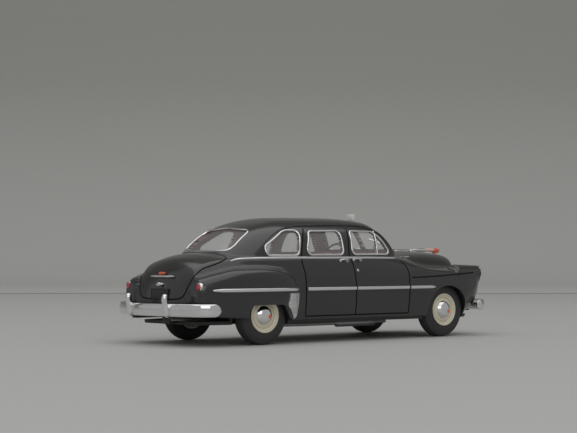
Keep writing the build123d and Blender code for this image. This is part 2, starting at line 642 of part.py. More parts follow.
# Rear furniture: number plate, its lamp, the boot handle and the emblem above it
with BuildPart() as number_plate:
    with Locations((0, TAIL_Y + TRIM_GAP + 0.2, 14.6)):
        Box(8.0, 0.4, 3.6)
parts["number_plate"] = number_plate.part
with BuildPart() as plate_lamp:
    with Locations((0, TAIL_Y + TRIM_GAP + 0.45, 17.0)):
        Box(3.0, 0.9, 0.8)
parts["plate_lamp"] = plate_lamp.part
body_layer = skin(body_solid)
with BuildPart() as boot_handle:
    with Locations((0, 55.5, 20.0)):
        Box(11.4, 6.0, 0.9)
    add(body_layer, mode=Mode.INTERSECT)
parts["boot_handle"] = boot_handle.part
with BuildPart() as boot_emblem:
    with Locations((0, 54.5, 21.8)):
        Box(2.2, 6.0, 1.2)
    add(body_layer, mode=Mode.INTERSECT)
parts["boot_emblem"] = boot_emblem.part

# Bonnet ornament: a chromed base along the crown, with a coloured crest
with BuildPart() as bonnet_ornament:
    add(bonnet_solid(-TRIM_GAP - TRIM_THICK))
    with Locations((0, -50.4, 27.0)):
        Box(1.3, 12.6, 4.0, mode=Mode.INTERSECT)
    add(bonnet_solid(-TRIM_GAP), mode=Mode.SUBTRACT)
parts["bonnet_ornament"] = bonnet_ornament.part
with BuildPart() as bonnet_crest:
    with BuildSketch(Plane.YZ.offset(-0.3)):
        Polygon((-56.0, 26.0), (-55.4, 27.1), (-52.5, 28.2), (-46.0, 28.3), (-46.0, 26.5), align=None)
    extrude(amount=0.6)
    add(bonnet_solid(-TRIM_GAP - TRIM_THICK - 0.03), mode=Mode.SUBTRACT)
parts["bonnet_crest"] = bonnet_crest.part

# Roof sign on the crown, near the windscreen
with BuildPart() as roof_sign:
    with Locations((0, SIGN_Y, 37.4)):
        Box(2.8, 1.5, 3.4)
    add(cabin_solid(-TRIM_GAP), mode=Mode.SUBTRACT)
parts["roof_sign"] = roof_sign.part

# Wipers, lying over the screen's frame
with BuildPart() as wipers:
    for side in both(1):
        with BuildSketch(Plane.XZ.offset(15)):
            with Locations(Location((side * 6.6, 29.6, 0), (0, 0, side * 24))):
                Rectangle(8.0, 0.4)
    extrude(amount=20)
    add(skin(cabin_solid, TRIM_GAP + TRIM_THICK + 0.05, 0.35), mode=Mode.INTERSECT)
    add(bonnet_solid(-TRIM_GAP), mode=Mode.SUBTRACT)
parts["wipers"] = wipers.part

# Door handles, standing out of the shoulder
with BuildPart() as door_handles:
    for y in (2.9, -2.6):
        with Locations((0, y, 24.3)):
            Box(60, 3.4, 0.7)
    add(skin(body_solid, TRIM_GAP, 0.7), mode=Mode.INTERSECT)
parts["door_handles"] = door_handles.part

# Belt mouldings, in the corner between the cabin and the shoulder
with BuildPart() as belt_mouldings:
    add(body_solid(-TRIM_GAP - TRIM_THICK))
    add(cabin_solid(-TRIM_GAP - TRIM_THICK))
    add(body_solid(-TRIM_GAP), mode=Mode.SUBTRACT)
    add(cabin_solid(-TRIM_GAP), mode=Mode.SUBTRACT)
    with BuildSketch(Plane.XY.offset(24.9)):
        for side in both(1):
            with Locations((side * 19, 10.5)):
                Rectangle(10, 61)
    extrude(amount=0.42, mode=Mode.INTERSECT)
parts["belt_mouldings"] = belt_mouldings.part


def wheel_piece(profile):
    """A turned piece of a wheel: corner points of axial distance from the tyre's middle and radius."""
    with BuildPart() as piece:
        with BuildSketch():
            Polygon(*profile, align=None)
        revolve(axis=Axis.X)
    return piece.part


def on_axle(piece, track, y):
    """A wheel piece at both ends of an axle, with its outer side outwards."""
    with BuildPart() as pair:
        for side, turn in ((1, 0), (-1, 180)):
            with Locations(Location((side * track / 2, y, TYRE_RADIUS), (0, 0, turn))):
                add(piece)
    return pair.part


half = TYRE_WIDTH / 2
wall_r = TYRE_RADIUS - TYRE_SHOULDER
tread = half - TYRE_SHOULDER
with BuildPart() as tyre:
    with BuildSketch():
        with BuildLine():
            Polyline((half, wall_r), (half, RIM_RADIUS), (-half, RIM_RADIUS), (-half, wall_r))
            ThreePointArc((-half, wall_r), (-half + 0.4, TYRE_RADIUS - 0.35), (-tread, TYRE_RADIUS))
            Line((-tread, TYRE_RADIUS), (tread, TYRE_RADIUS))
            ThreePointArc((tread, TYRE_RADIUS), (half - 0.4, TYRE_RADIUS - 0.35), (half, wall_r))
        make_face()
    revolve(axis=Axis.X)
rim_seat = RIM_RADIUS - 0.04
bore = AXLE_RADIUS + 0.02
rim = wheel_piece((
    (half + RIM_LIP, rim_seat), (half + RIM_LIP, rim_seat - 0.5),
    (half - 0.7, rim_seat - 0.8), (half - 0.7, HUB_RADIUS + 1.0),
    (half - 0.3, HUB_RADIUS + 0.6), (half - 0.3, bore), (-half + 0.6, bore), (-half + 0.6, HUB_RADIUS),
    (half - 1.6, HUB_RADIUS), (half - 1.6, rim_seat - RIM_BAND),
    (-half + 0.2, rim_seat - RIM_BAND), (-half + 0.2, rim_seat),
))
cap_foot = half - 0.3 + 0.03
cap_edge = HUBCAP_RADIUS - 0.35
with BuildPart() as hubcap:
    with BuildSketch():
        with BuildLine():
            Line((cap_foot, 0), (cap_foot, cap_edge))
            Line((cap_foot, cap_edge), (cap_foot + 0.25, cap_edge))
            ThreePointArc((cap_foot + 0.25, cap_edge), (cap_foot + 0.85, 1.7), (cap_foot + HUBCAP_DOME, 0.6))
            Line((cap_foot + HUBCAP_DOME, 0.6), (cap_foot + HUBCAP_DOME, 0))
            Line((cap_foot + HUBCAP_DOME, 0), (cap_foot, 0))
        make_face()
    revolve(axis=Axis.X)
for name, y, track in (("front", FRONT_AXLE_Y, FRONT_TRACK), ("rear", REAR_AXLE_Y, REAR_TRACK)):
    parts[f"{name}_tyres"] = on_axle(tyre.part, track, y)
    parts[f"{name}_rims"] = on_axle(rim, track, y)
    parts[f"{name}_hubcaps"] = on_axle(hubcap.part, track, y)
    with BuildPart() as axle:
        with Locations(Location((0, y, TYRE_RADIUS), (0, 90, 0))):
            Cylinder(AXLE_RADIUS, track + 2 * (half - 0.35))
    parts[f"{name}_axle"] = axle.part

for name, piece in parts.items():
    piece.label = name
    export_step(piece, f"parts/{name}.step")
    print(name, round(piece.volume, 2), len(piece.solids()), piece.is_valid, len(piece.faces()))
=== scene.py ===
import math

import bmesh
import bpy
import numpy as np
from mathutils import Matrix, Vector


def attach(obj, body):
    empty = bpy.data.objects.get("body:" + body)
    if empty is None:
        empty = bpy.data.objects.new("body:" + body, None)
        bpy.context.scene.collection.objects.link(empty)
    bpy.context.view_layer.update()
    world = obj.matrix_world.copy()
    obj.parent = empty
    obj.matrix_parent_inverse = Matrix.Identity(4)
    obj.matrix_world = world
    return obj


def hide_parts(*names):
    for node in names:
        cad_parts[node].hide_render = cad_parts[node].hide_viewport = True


# Looks of the 1:43 scale model taxi.  Sizes are in millimetres in the model's own frame and become
# metres in add_piece: -Y is the car's front, -X its right-hand side, and Z = 0 the table.

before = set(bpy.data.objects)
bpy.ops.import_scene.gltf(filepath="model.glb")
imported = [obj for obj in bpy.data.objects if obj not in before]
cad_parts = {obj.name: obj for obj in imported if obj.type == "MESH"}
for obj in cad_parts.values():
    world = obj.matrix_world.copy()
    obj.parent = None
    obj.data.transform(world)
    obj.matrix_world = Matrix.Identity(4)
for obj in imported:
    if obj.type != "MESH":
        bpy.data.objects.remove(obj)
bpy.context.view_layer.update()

MM = 0.001
WALL = 1.0
FRONT_AXLE_Y = -40.1
REAR_AXLE_Y = 34.3
FRONT_HALF_TRACK = 17.0
REAR_HALF_TRACK = 17.45
AXLE_Z = 8.6
TYRE_R = 8.6
TYRE_HALF = 2.2
RIM_R = 5.0
NOSE_Y = -57.6
TAIL_Y = 57.6
BELT_Z = 25.2
TRIM_Z = 16.0
SIDES = (-1, 1)
FAR_X = 26.0


# Surface of the bodywork: signed functions, negative inside, blended into one another

def curve(stations, values, at):
    """A smooth line through a table, without overshoot, level beyond its ends."""
    stations, values = np.asarray(stations, float), np.asarray(values, float)
    step = np.diff(stations)
    rise = np.diff(values) / step
    slope = np.zeros(len(stations))
    slope[0], slope[-1] = rise[0], rise[-1]
    for i in range(1, len(stations) - 1):
        if rise[i - 1] * rise[i] > 0:
            before, after = 2 * step[i] + step[i - 1], step[i] + 2 * step[i - 1]
            slope[i] = (before + after) / (before / rise[i - 1] + after / rise[i])
    at = np.clip(at, stations[0], stations[-1])
    i = np.clip(np.searchsorted(stations, at, side="right") - 1, 0, len(stations) - 2)
    t = (at - stations[i]) / step[i]
    return ((1 + 2 * t) * (1 - t) ** 2 * values[i] + t * (1 - t) ** 2 * step[i] * slope[i]
            + t * t * (3 - 2 * t) * values[i + 1] + t * t * (t - 1) * step[i] * slope[i + 1])


def blend_max(a, b, k):
    h = np.clip(0.5 + 0.5 * (a - b) / k, 0, 1)
    return b + (a - b) * h + k * h * (1 - h)


def blend_min(a, b, k):
    return -blend_max(-a, -b, k)


# Lower body: y, sill x, sill z, side x, side z, crest x, crest z, belt x, belt z, centre top z
BODY = np.array((
    (-57.6, 14.4, 9.0, 18.3, 16.5, 16.9, 21.8, 11.0, 21.3, 21.6),
    (-53.0, 17.4, 8.4, 20.2, 15.8, 18.0, 22.5, 11.8, 21.9, 22.3),
    (-46.0, 19.4, 7.6, 20.9, 15.0, 18.7, 22.7, 12.8, 22.2, 23.2),
    (-34.0, 20.0, 6.8, 21.0, 14.8, 19.4, 22.5, 14.6, 22.9, 24.6),
    (-24.0, 19.9, 6.8, 20.9, 14.8, 19.8, 22.3, 17.2, 24.7, 26.2),
    (-10.0, 19.8, 6.8, 20.9, 14.8, 20.1, 22.0, 18.3, 25.1, 26.0),
    (8.0, 19.8, 6.8, 20.9, 14.8, 20.2, 21.8, 18.5, 25.2, 26.0),
    (24.0, 19.7, 6.8, 20.7, 14.8, 20.0, 21.8, 18.3, 25.2, 26.2),
    (38.0, 18.6, 7.2, 19.6, 14.8, 18.9, 21.4, 16.8, 25.2, 26.9),
    (46.0, 17.2, 7.8, 18.2, 14.4, 17.4, 20.6, 15.0, 24.6, 26.6),
    (51.0, 16.0, 8.2, 16.9, 14.2, 16.2, 19.8, 13.9, 23.3, 25.4),
    (55.0, 14.6, 8.6, 15.5, 13.8, 14.8, 18.4, 12.6, 20.8, 22.7),
    (57.6, 13.2, 9.2, 14.0, 13.4, 13.3, 16.4, 11.2, 17.6, 19.2),
))
# Bonnet: y, half width, centre top z
BONNET = np.array((
    (-57.5, 7.4, 24.4), (-55, 8.8, 25.9), (-49, 10.8, 26.9), (-38, 13.2, 27.4), (-23.5, 15.6, 27.5),
))
# Cabin by height: z, screen centre y, side x, rear centre y
CABIN = np.array((
    (22.0, -27.3, 18.5, 47.0), (25.6, -25.0, 17.9, 44.0), (29.6, -22.5, 16.9, 40.2),
    (33.4, -20.0, 15.4, 35.8), (36.9, -17.2, 13.7, 30.2), (38.5, -16.0, 12.9, 27.5),
))
# Roof's centre line: y, z
ROOF = np.array((
    (-20, 35.6), (-14, 36.75), (-8, 37.35), (0, 37.6), (10, 37.55), (20, 37.3), (28, 36.8), (34, 35.9),
    (40, 34.2),
))
# Rear wing: y, outer x, top z, bottom z
WING = np.array((
    (22.4, 20.6, 18.8, 10.0), (24.2, 21.5, 20.7, 7.6), (28.0, 22.0, 22.0, 7.4), (35.0, 22.1, 22.5, 7.6),
    (43.0, 21.9, 22.2, 7.9), (50.5, 20.6, 20.8, 8.3), (57.0, 18.8, 18.8, 9.6),
))
LAMP_X = 17.0
LAMP_Z = 19.9
LAMP_FACE_Y = -57.2
OPEN_BELOW = 9.0


def lower_body(x, y, z, drop):
    """The waist-down body: a bowed side, a shoulder and a crowned deck."""
    sill_x, sill_z, side_x, side_z, crest_x, crest_z, belt_x, belt_z, top_z = (
        curve(BODY[:, 0], BODY[:, column], y) for column in range(1, 10))
    level = np.clip(z, sill_z - 2, crest_z + 3)
    bow = (sill_x * (level - side_z) * (level - crest_z) / ((sill_z - side_z) * (sill_z - crest_z))
           + side_x * (level - sill_z) * (level - crest_z) / ((side_z - sill_z) * (side_z - crest_z))
           + crest_x * (level - sill_z) * (level - side_z) / ((crest_z - sill_z) * (crest_z - side_z)))
    slope = (belt_z - crest_z) / (crest_x - belt_x)
    shoulder = (z - (crest_z + (crest_x - x) * slope)) / np.sqrt(1 + slope * slope)
    deck = z - (top_z - (top_z - belt_z) * (x / belt_x) ** 2)
    f = blend_max(blend_max(x - bow, shoulder, 1.6), deck, 0.9)
    f = blend_max(f, sill_z - drop - z, 0.6)
    f = blend_max(f, NOSE_Y - y, 2.0)
    return blend_max(f, y - TAIL_Y + 0.02 * (z - 12) ** 2 + 0.006 * x ** 2, 2.5)


def bonnet(x, y, z):
    half = curve(BONNET[:, 0], BONNET[:, 1], y)
    top = z - (curve(BONNET[:, 0], BONNET[:, 2], y) - 0.17 * half * (x / half) ** 2)
    f = blend_max(top, (x - half - 0.25 * (23 - z)) * 0.95, 3.5)
    f = blend_max(f, -58.4 + 0.012 * (z - 18) ** 2 + 0.028 * x ** 2 - y, 2.5)
    f = blend_max(f, y + 21, 0.5)
    return blend_max(f, 15 - z, 1)


def cabin(x, y, z):
    screen_y, side_x, rear_y = (curve(CABIN[:, 0], CABIN[:, column], z) for column in (1, 2, 3))
    taper = np.clip((y - 14) / 30, 0, None) ** 2 * 2.2 + np.clip((-6 - y) / 16, 0, None) ** 2 * 0.5
    roof = z - (curve(ROOF[:, 0], ROOF[:, 1], y) - 0.0085 * x ** 2)
    f = blend_max((x - side_x + taper) * 0.96, roof, 5.0)
    f = blend_max(f, (screen_y + 0.21 * x - y) * 0.79, 2.8)
    f = blend_max(f, (y - rear_y + 0.01 * x ** 2) * 0.66, 7.0)
    return blend_max(f, 21 - z, 1)


def wing(x, y, z, drop):
    outer_x, top_z, bottom_z = (curve(WING[:, 0], WING[:, column], y) for column in (1, 2, 3))
    side = x - outer_x + 0.008 * (z - 14.5) ** 2
    f = blend_max(side, z - top_z - 0.05 * (outer_x - 3.5 - x), 3.2)
    f = blend_max(f, bottom_z - drop - z, 0.6)
    f = blend_max(f, 22.3 + 0.03 * (z - 13) ** 2 * (z > 13) - y, 1.4)
    f = blend_max(f, y - 57 + 0.02 * (z - 14) ** 2, 1.6)
    return blend_max(f, 13 - x, 1)


def lamp_pod(x, y, z):
    f = np.sqrt((x - LAMP_X) ** 2 + (z - LAMP_Z) ** 2) - 2.75 - 0.03 * (y + 57.3)
    return blend_max(blend_max(f, LAMP_FACE_Y - y, 0.5), y + 46, 1.0)


def bodywork(p, drop=0.0):
    """The whole outside at points p (..., 3); drop carries it down past the sills, for the hollow."""
    x, y, z = np.abs(p[..., 0]), p[..., 1], p[..., 2]
    f = lower_body(x, y, z, drop)
    f = blend_min(f, bonnet(x, y, z), 1.2)
    f = blend_min(f, cabin(x, y, z), 0.5)
    f = blend_min(f, wing(x, y, z, drop), 0.9)
    return blend_min(f, lamp_pod(x, y, z), 1.2)


def hollow(p):
    return bodywork(p, OPEN_BELOW) + WALL


def slopes(p, shape=bodywork):
    """Outward unit normals of a shape at points p."""
    p = np.asarray(p, float)
    reach = 0.05
    g = np.stack([shape(p + reach * axis) - shape(p - reach * axis) for axis in np.eye(3)], -1)
    return g / (np.linalg.norm(g, axis=-1, keepdims=True) + 1e-12)


def first_hit(start, direction, reach, level=0.0, steps=90):
    """Where rays from outside first meet the bodywork, drawn in by level."""
    start = np.asarray(start, float)
    direction = np.broadcast_to(np.asarray(direction, float), start.shape)
    found = np.full(start.shape[:-1], reach, float)
    for t in np.linspace(reach, 0, steps):
        inside = bodywork(start + direction * t) + level < 0
        found = np.where(inside, t, found)
    low, high = found - reach / (steps - 1), found
    for _ in range(20):
        middle = (low + high) / 2
        inside = bodywork(start + direction * middle[..., None]) + level < 0
        low, high = np.where(inside, low, middle), np.where(inside, middle, high)
    return start + direction * high[..., None]


def on_side(yz, side=-1, level=0.0):
    """Points of the bodywork at given y and z, on the right (-1) or left (1)."""
    yz = np.asarray(yz, float)
    start = np.concatenate([np.full((len(yz), 1), side * FAR_X), yz], 1)
    return first_hit(start, (-side, 0, 0), 22.0, level)


def on_top(xy, level=0.0):
    xy = np.asarray(xy, float)
    return first_hit(np.concatenate([xy, np.full((len(xy), 1), 42.0)], 1), (0, 0, -1), 24.0, level)


def on_end(xz, end=1, level=0.0):
    """Points of the bodywork at given x and z, met from behind (1) or from the front (-1)."""
    xz = np.asarray(xz, float)
    start = np.stack([xz[:, 0], np.full(len(xz), end * 62.0), xz[:, 1]], 1)
    return first_hit(start, (0, -end, 0), 46.0, level, 150)


# Mesh parts: each is (list of points, list of faces)

def join(*parts):
    points, faces = [], []
    for part_points, part_faces in parts:
        base = len(points)
        points.extend(map(tuple, part_points))
        faces.extend(tuple(i + base for i in face) for face in part_faces)
    return points, faces


def mirrored(part):
    points, faces = part
    return join(part, ([(-x, y, z) for x, y, z in points], [tuple(reversed(face)) for face in faces]))


def moved(part, offset=(0, 0, 0), turn=None):
    points = np.asarray(part[0], float)
    if turn is not None:
        points = points @ np.asarray(turn, float).T
    return [tuple(p) for p in points + np.asarray(offset, float)], part[1]


def resample(line, step, closed=False):
    """Evenly spaced points along a polyline."""
    line = np.asarray(line, float)
    if closed:
        line = np.concatenate([line, line[:1]])
    lengths = np.concatenate([[0], np.cumsum(np.linalg.norm(np.diff(line, axis=0), axis=1))])
    count = max(2, int(round(lengths[-1] / step)))
    at = np.linspace(0, lengths[-1], count + 1)
    out = np.stack([np.interp(at, lengths, line[:, k]) for k in range(line.shape[1])], 1)
    return out[:-1] if closed else out


def smooth_line(points, step):
    """A smooth open curve through points, evenly spaced."""
    points = np.asarray(points, float)
    ends = np.concatenate([[2 * points[0] - points[1]], points, [2 * points[-1] - points[-2]]])
    out = []
    for a, b, c, d in zip(ends[:-3], ends[1:-2], ends[2:-1], ends[3:]):
        for t in np.linspace(0, 1, 12, endpoint=False):
            bend = (2 * a - 5 * b + 4 * c - d) * t * t
            out.append(0.5 * (2 * b + (c - a) * t + bend + (3 * b - a - 3 * c + d) * t ** 3))
    return resample(np.array(out + [points[-1]]), step)


def rounded(corners, step=0.35, arc=8):
    """A closed outline from corners (u, v, radius), evenly spaced."""
    spots = np.array([c[:2] for c in corners], float)
    out = []
    for i, (_, _, radius) in enumerate(corners):
        here, before, after = spots[i], spots[i - 1], spots[(i + 1) % len(spots)]
        a = (before - here) / np.linalg.norm(before - here)
        b = (after - here) / np.linalg.norm(after - here)
        half = math.acos(max(-1, min(1, float(a @ b)))) / 2
        run = radius / math.tan(half)
        middle = here + (a + b) / np.linalg.norm(a + b) * radius / math.sin(half)
        start, stop = here + a * run - middle, here + b * run - middle
        turn = math.atan2(start[0] * stop[1] - start[1] * stop[0], float(start @ stop))
        for t in np.linspace(0, turn, arc):
            c, s = math.cos(t), math.sin(t)
            out.append(middle + np.array([c * start[0] - s * start[1], s * start[0] + c * start[1]]))
    return resample(out, step, closed=True)


def grow(outline, amount):
    """A closed outline moved outwards by amount (inwards where it is negative)."""
    outline = np.asarray(outline, float)
    along = np.roll(outline, -1, 0) - np.roll(outline, 1, 0)
    u, v = outline.T
    area = np.sum(u * np.roll(v, -1) - np.roll(u, -1) * v)
    out = np.stack([along[:, 1], -along[:, 0]], 1) * np.sign(area)
    return outline + amount * out / np.linalg.norm(out, axis=1, keepdims=True)


def ring_faces(n, m, closed=False):
    """Faces between n rings of m points, with one on the first and last ring unless the rings close."""
    faces = [(i * m + j, i * m + (j + 1) % m, (i + 1) % n * m + (j + 1) % m, (i + 1) % n * m + j)
             for i in range(n if closed else n - 1) for j in range(m)]
    if not closed:
        faces += [tuple(reversed(range(m))), tuple((n - 1) * m + j for j in range(m))]
    return faces


def tube(path, section, outward, closed=False, scale=None):
    """A section of points (across, out) carried along a path; outward gives its upright at each point."""
    path = np.asarray(path, float)
    outward = np.broadcast_to(np.asarray(outward, float), path.shape)
    if closed:
        along = np.roll(path, -1, 0) - np.roll(path, 1, 0)
    else:
        along = np.gradient(path, axis=0)
    along /= np.linalg.norm(along, axis=1, keepdims=True)
    across = np.cross(outward, along)
    across /= np.linalg.norm(across, axis=1, keepdims=True)
    up = np.cross(along, across)
    scale = np.ones(len(path)) if scale is None else np.asarray(scale, float)
    section = np.asarray(section, float)
    spread = across[:, None] * section[None, :, :1] + up[:, None] * section[None, :, 1:]
    rings = path[:, None] + scale[:, None, None] * spread
    return [tuple(p) for p in rings.reshape(-1, 3)], ring_faces(*rings.shape[:2], closed)


def half_round(width, height, root=0.15):
    """A trim's section: flat below, crowned above, its middle on the path."""
    crown = [(width / 2 * math.cos(t), height * math.sin(t) ** 0.8)
             for t in np.linspace(0.15, math.pi - 0.15, 9)]
    return [(width / 2, -root)] + crown + [(-width / 2, -root)]


def circle(radius, count=12):
    turns = np.linspace(0, 2 * math.pi, count, endpoint=False)
    return [(radius * math.cos(t), radius * math.sin(t)) for t in turns]


def lathe(profile, segments=64, dent=None):
    """A profile of (along, radius) turned about X; dent(k, turn) gives a depth to take off the radius."""
    points, faces, rows = [], [], []
    for k, (along, radius) in enumerate(profile):
        if radius < 1e-6:
            rows.append([len(points)] * segments)
            points.append((along, 0, 0))
            continue
        row = []
        for i in range(segments):
            r = radius - (dent(k, i) if dent else 0)
            turn = 2 * math.pi * i / segments
            row.append(len(points))
            points.append((along, r * math.cos(turn), r * math.sin(turn)))
        rows.append(row)
    closed = np.allclose(profile[0], profile[-1])
    if closed:
        rows[-1] = rows[0]
    for low, high in zip(rows[:-1], rows[1:]):
        for i in range(segments):
            j = (i + 1) % segments
            face = [low[i], low[j], high[j], high[i]]
            face = [v for n, v in enumerate(face) if v not in face[:n]]
            if len(face) > 2:
                faces.append(tuple(face))
    return points, faces


def rounded_box(low, high, radius=0.3, arc=3):
    """A block whose upright edges and rims are rounded."""
    (x0, y0, z0), (x1, y1, z1) = low, high
    radius = min(radius, (x1 - x0) / 2.05, (y1 - y0) / 2.05, (z1 - z0) / 2.05)
    rings = []
    for end, z_rim in ((-1, z0), (1, z1)):
        turns = np.linspace(0, math.pi / 2, arc + 1)
        for t in (turns if end < 0 else turns[::-1]):
            inset = radius * (1 - math.sin(t))
            z = z_rim - end * radius * (1 - math.cos(t))
            r = max(radius * math.sin(t), 0.02 * radius)
            ring = []
            for cx, cy, first in ((x1, y1, 0), (x0, y1, 90), (x0, y0, 180), (x1, y0, 270)):
                sx, sy = (1 if cx == x1 else -1), (1 if cy == y1 else -1)
                for a in np.radians(np.linspace(first, first + 90, arc + 1)):
                    x = cx - sx * (inset + r) + r * math.cos(a)
                    ring.append((x, cy - sy * (inset + r) + r * math.sin(a), z))
            rings.append(ring)
    return [p for ring in rings for p in ring], ring_faces(len(rings), len(rings[0]))


def prism(outline, axis, start, stop):
    """A closed outline carried along an axis (0: u, v are y, z; 1: x, z; 2: x, y)."""
    points = [tuple(np.insert(p, axis, d)) for d in (start, stop) for p in np.asarray(outline, float)]
    return points, ring_faces(2, len(outline))


def patch(outline, place, outer, inner, rings=10):
    """A closed pane that fills an outline on the bodywork, between two depths below its surface."""
    outline = np.asarray(outline, float)
    middle = outline.mean(0)
    shares = np.linspace(1, 0.04, rings)
    layers = []
    for level in (outer, inner):
        spots = np.concatenate([middle + share * (outline - middle) for share in shares] + [middle[None]])
        layers.append(place(spots, level))
    m, per = len(outline), len(layers[0])
    faces = []
    for base, flip in ((0, False), (per, True)):
        own = []
        for i in range(rings - 1):
            for j in range(m):
                k = (j + 1) % m
                near, far = base + i * m, base + (i + 1) * m
                own.append((near + j, near + k, far + k, far + j))
        last = base + (rings - 1) * m
        own += [(last + j, last + (j + 1) % m, base + rings * m) for j in range(m)]
        faces += [tuple(reversed(face)) for face in own] if flip else own
    faces += [(j, per + j, per + (j + 1) % m, (j + 1) % m) for j in range(m)]
    return [tuple(p) for p in np.concatenate(layers)], faces


def band(line, section, closed=False, scale=None, lift=0.0):
    """A section carried along a line of points that lie on the bodywork."""
    out = slopes(line)
    return tube(np.asarray(line) + lift * out, section, out, closed, scale)


def both_sides(make):
    """What make gives for the right-hand side and then for the left, as one part."""
    return join(*(make(side) for side in SIDES))


def make_mesh(name, part):
    mesh = bpy.data.meshes.new(name)
    mesh.from_pydata([(x * MM, y * MM, z * MM) for x, y, z in part[0]], [], part[1])
    mesh.update()
    return mesh


def recalculate(mesh):
    work = bmesh.new()
    work.from_mesh(mesh)
    bmesh.ops.remove_doubles(work, verts=work.verts, dist=1e-7)
    bmesh.ops.recalc_face_normals(work, faces=work.faces)
    work.to_mesh(mesh)
    work.free()


def add_piece(name, part, finish, body="car", replaces=(), crease=35):
    mesh = make_mesh(name, part)
    recalculate(mesh)
    mesh.shade_smooth()
    mesh.set_sharp_from_angle(angle=math.radians(crease))
    piece = bpy.data.objects.new(name, mesh)
    bpy.context.scene.collection.objects.link(piece)
    mesh.materials.append(FINISHES[finish])
    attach(piece, body)
    if replaces:
        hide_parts(*replaces)
    return piece


# Finishes

def make_finish(name, low, high, rough, spread, metal=0.0, coat=0.0, coat_rough=0.1, grain=900.0,
                bump=0.0, alpha=1.0, specular=0.5, fine=6000.0):
    """A surface whose colour, gloss and relief vary a little over it."""
    material = bpy.data.materials.new(name)
    material.use_nodes = True
    nodes, links = material.node_tree.nodes, material.node_tree.links
    shader = nodes["Principled BSDF"]
    place = nodes.new("ShaderNodeTexCoord")
    cloud = nodes.new("ShaderNodeTexNoise")
    cloud.inputs["Scale"].default_value = grain
    cloud.inputs["Detail"].default_value = 5
    links.new(place.outputs["Object"], cloud.inputs["Vector"])
    tint = nodes.new("ShaderNodeMix")
    tint.data_type = "RGBA"
    tint.inputs["A"].default_value = (*low, 1)
    tint.inputs["B"].default_value = (*high, 1)
    links.new(cloud.outputs["Fac"], tint.inputs["Factor"])
    links.new(tint.outputs["Result"], shader.inputs["Base Color"])
    gloss = nodes.new("ShaderNodeMapRange")
    gloss.inputs["To Min"].default_value = max(0.02, rough - spread)
    gloss.inputs["To Max"].default_value = rough + spread
    links.new(cloud.outputs["Fac"], gloss.inputs["Value"])
    links.new(gloss.outputs["Result"], shader.inputs["Roughness"])
    if bump:
        speckle = nodes.new("ShaderNodeTexNoise")
        speckle.inputs["Scale"].default_value = fine
        speckle.inputs["Detail"].default_value = 3
        links.new(place.outputs["Object"], speckle.inputs["Vector"])
        relief = nodes.new("ShaderNodeBump")
        relief.inputs["Strength"].default_value = 1.0
        relief.inputs["Distance"].default_value = bump
        links.new(speckle.outputs["Fac"], relief.inputs["Height"])
        links.new(relief.outputs["Normal"], shader.inputs["Normal"])
    shader.inputs["Metallic"].default_value = metal
    shader.inputs["Coat Weight"].default_value = coat
    shader.inputs["Coat Roughness"].default_value = coat_rough
    shader.inputs["Specular IOR Level"].default_value = specular
    shader.inputs["Alpha"].default_value = alpha
    return material


# Dark and light colour, roughness, its spread, and what else differs from the usual
FINISH_ROWS = {
    "body_paint": ((0.010, 0.010, 0.011), (0.016, 0.015, 0.016), 0.26, 0.03,
                   dict(coat=0.7, coat_rough=0.09, grain=260, bump=4e-6, fine=3500)),
    "chassis_black": ((0.018, 0.018, 0.019), (0.032, 0.031, 0.031), 0.55, 0.08, dict(bump=2e-5)),
    "steel": ((0.5, 0.5, 0.51), (0.66, 0.66, 0.66), 0.32, 0.06, dict(metal=1.0, bump=6e-6)),
    "exhaust_silver": ((0.42, 0.43, 0.44), (0.58, 0.58, 0.58), 0.38, 0.08, dict(metal=0.7, bump=1.2e-5)),
    "trim_beige": ((0.40, 0.25, 0.23), (0.50, 0.33, 0.30), 0.6, 0.08, dict(bump=2e-5)),
    "seat_red": ((0.33, 0.12, 0.13), (0.43, 0.18, 0.18), 0.55, 0.1, dict(bump=3e-5)),
    "dash_red": ((0.20, 0.035, 0.04), (0.28, 0.055, 0.06), 0.42, 0.08, dict(bump=1e-5)),
    "clear": ((0.86, 0.88, 0.88), (0.93, 0.94, 0.94), 0.05, 0.015, dict(alpha=0.10, specular=0.6)),
    "lamp_glass": ((0.8, 0.82, 0.84), (0.92, 0.93, 0.94), 0.08, 0.03,
                   dict(alpha=0.35, specular=0.8, bump=1e-5)),
    "chrome": ((0.74, 0.74, 0.75), (0.84, 0.84, 0.85), 0.12, 0.05,
               dict(metal=1.0, grain=500, bump=3e-6, fine=4000)),
    "red_lens": ((0.42, 0.012, 0.012), (0.60, 0.03, 0.025), 0.12, 0.04, dict(coat=0.8, coat_rough=0.04)),
    "white_gloss": ((0.76, 0.76, 0.74), (0.84, 0.84, 0.82), 0.3, 0.06, dict(bump=8e-6)),
    "plate_black": ((0.012, 0.012, 0.013), (0.022, 0.022, 0.022), 0.35, 0.06, dict(bump=8e-6)),
    "crest_red": ((0.62, 0.08, 0.03), (0.80, 0.16, 0.06), 0.28, 0.06, dict(coat=0.5)),
    "crest_pink": ((0.70, 0.42, 0.38), (0.80, 0.52, 0.47), 0.3, 0.06, dict(coat=0.4)),
    "tyre": ((0.020, 0.020, 0.021), (0.036, 0.036, 0.037), 0.62, 0.08, dict(bump=2e-5, fine=5000)),
    "rim_cream": ((0.66, 0.61, 0.47), (0.74, 0.69, 0.55), 0.34, 0.06, dict(coat=0.3, bump=6e-6)),
    "recess_black": ((0.004, 0.004, 0.004), (0.009, 0.009, 0.009), 0.7, 0.1, dict()),
}
FINISHES = {name: make_finish(name, *row[:4], **row[4]) for name, row in FINISH_ROWS.items()}

# Body shell: the outer surface, less its hollow, windows, arches and panel gaps

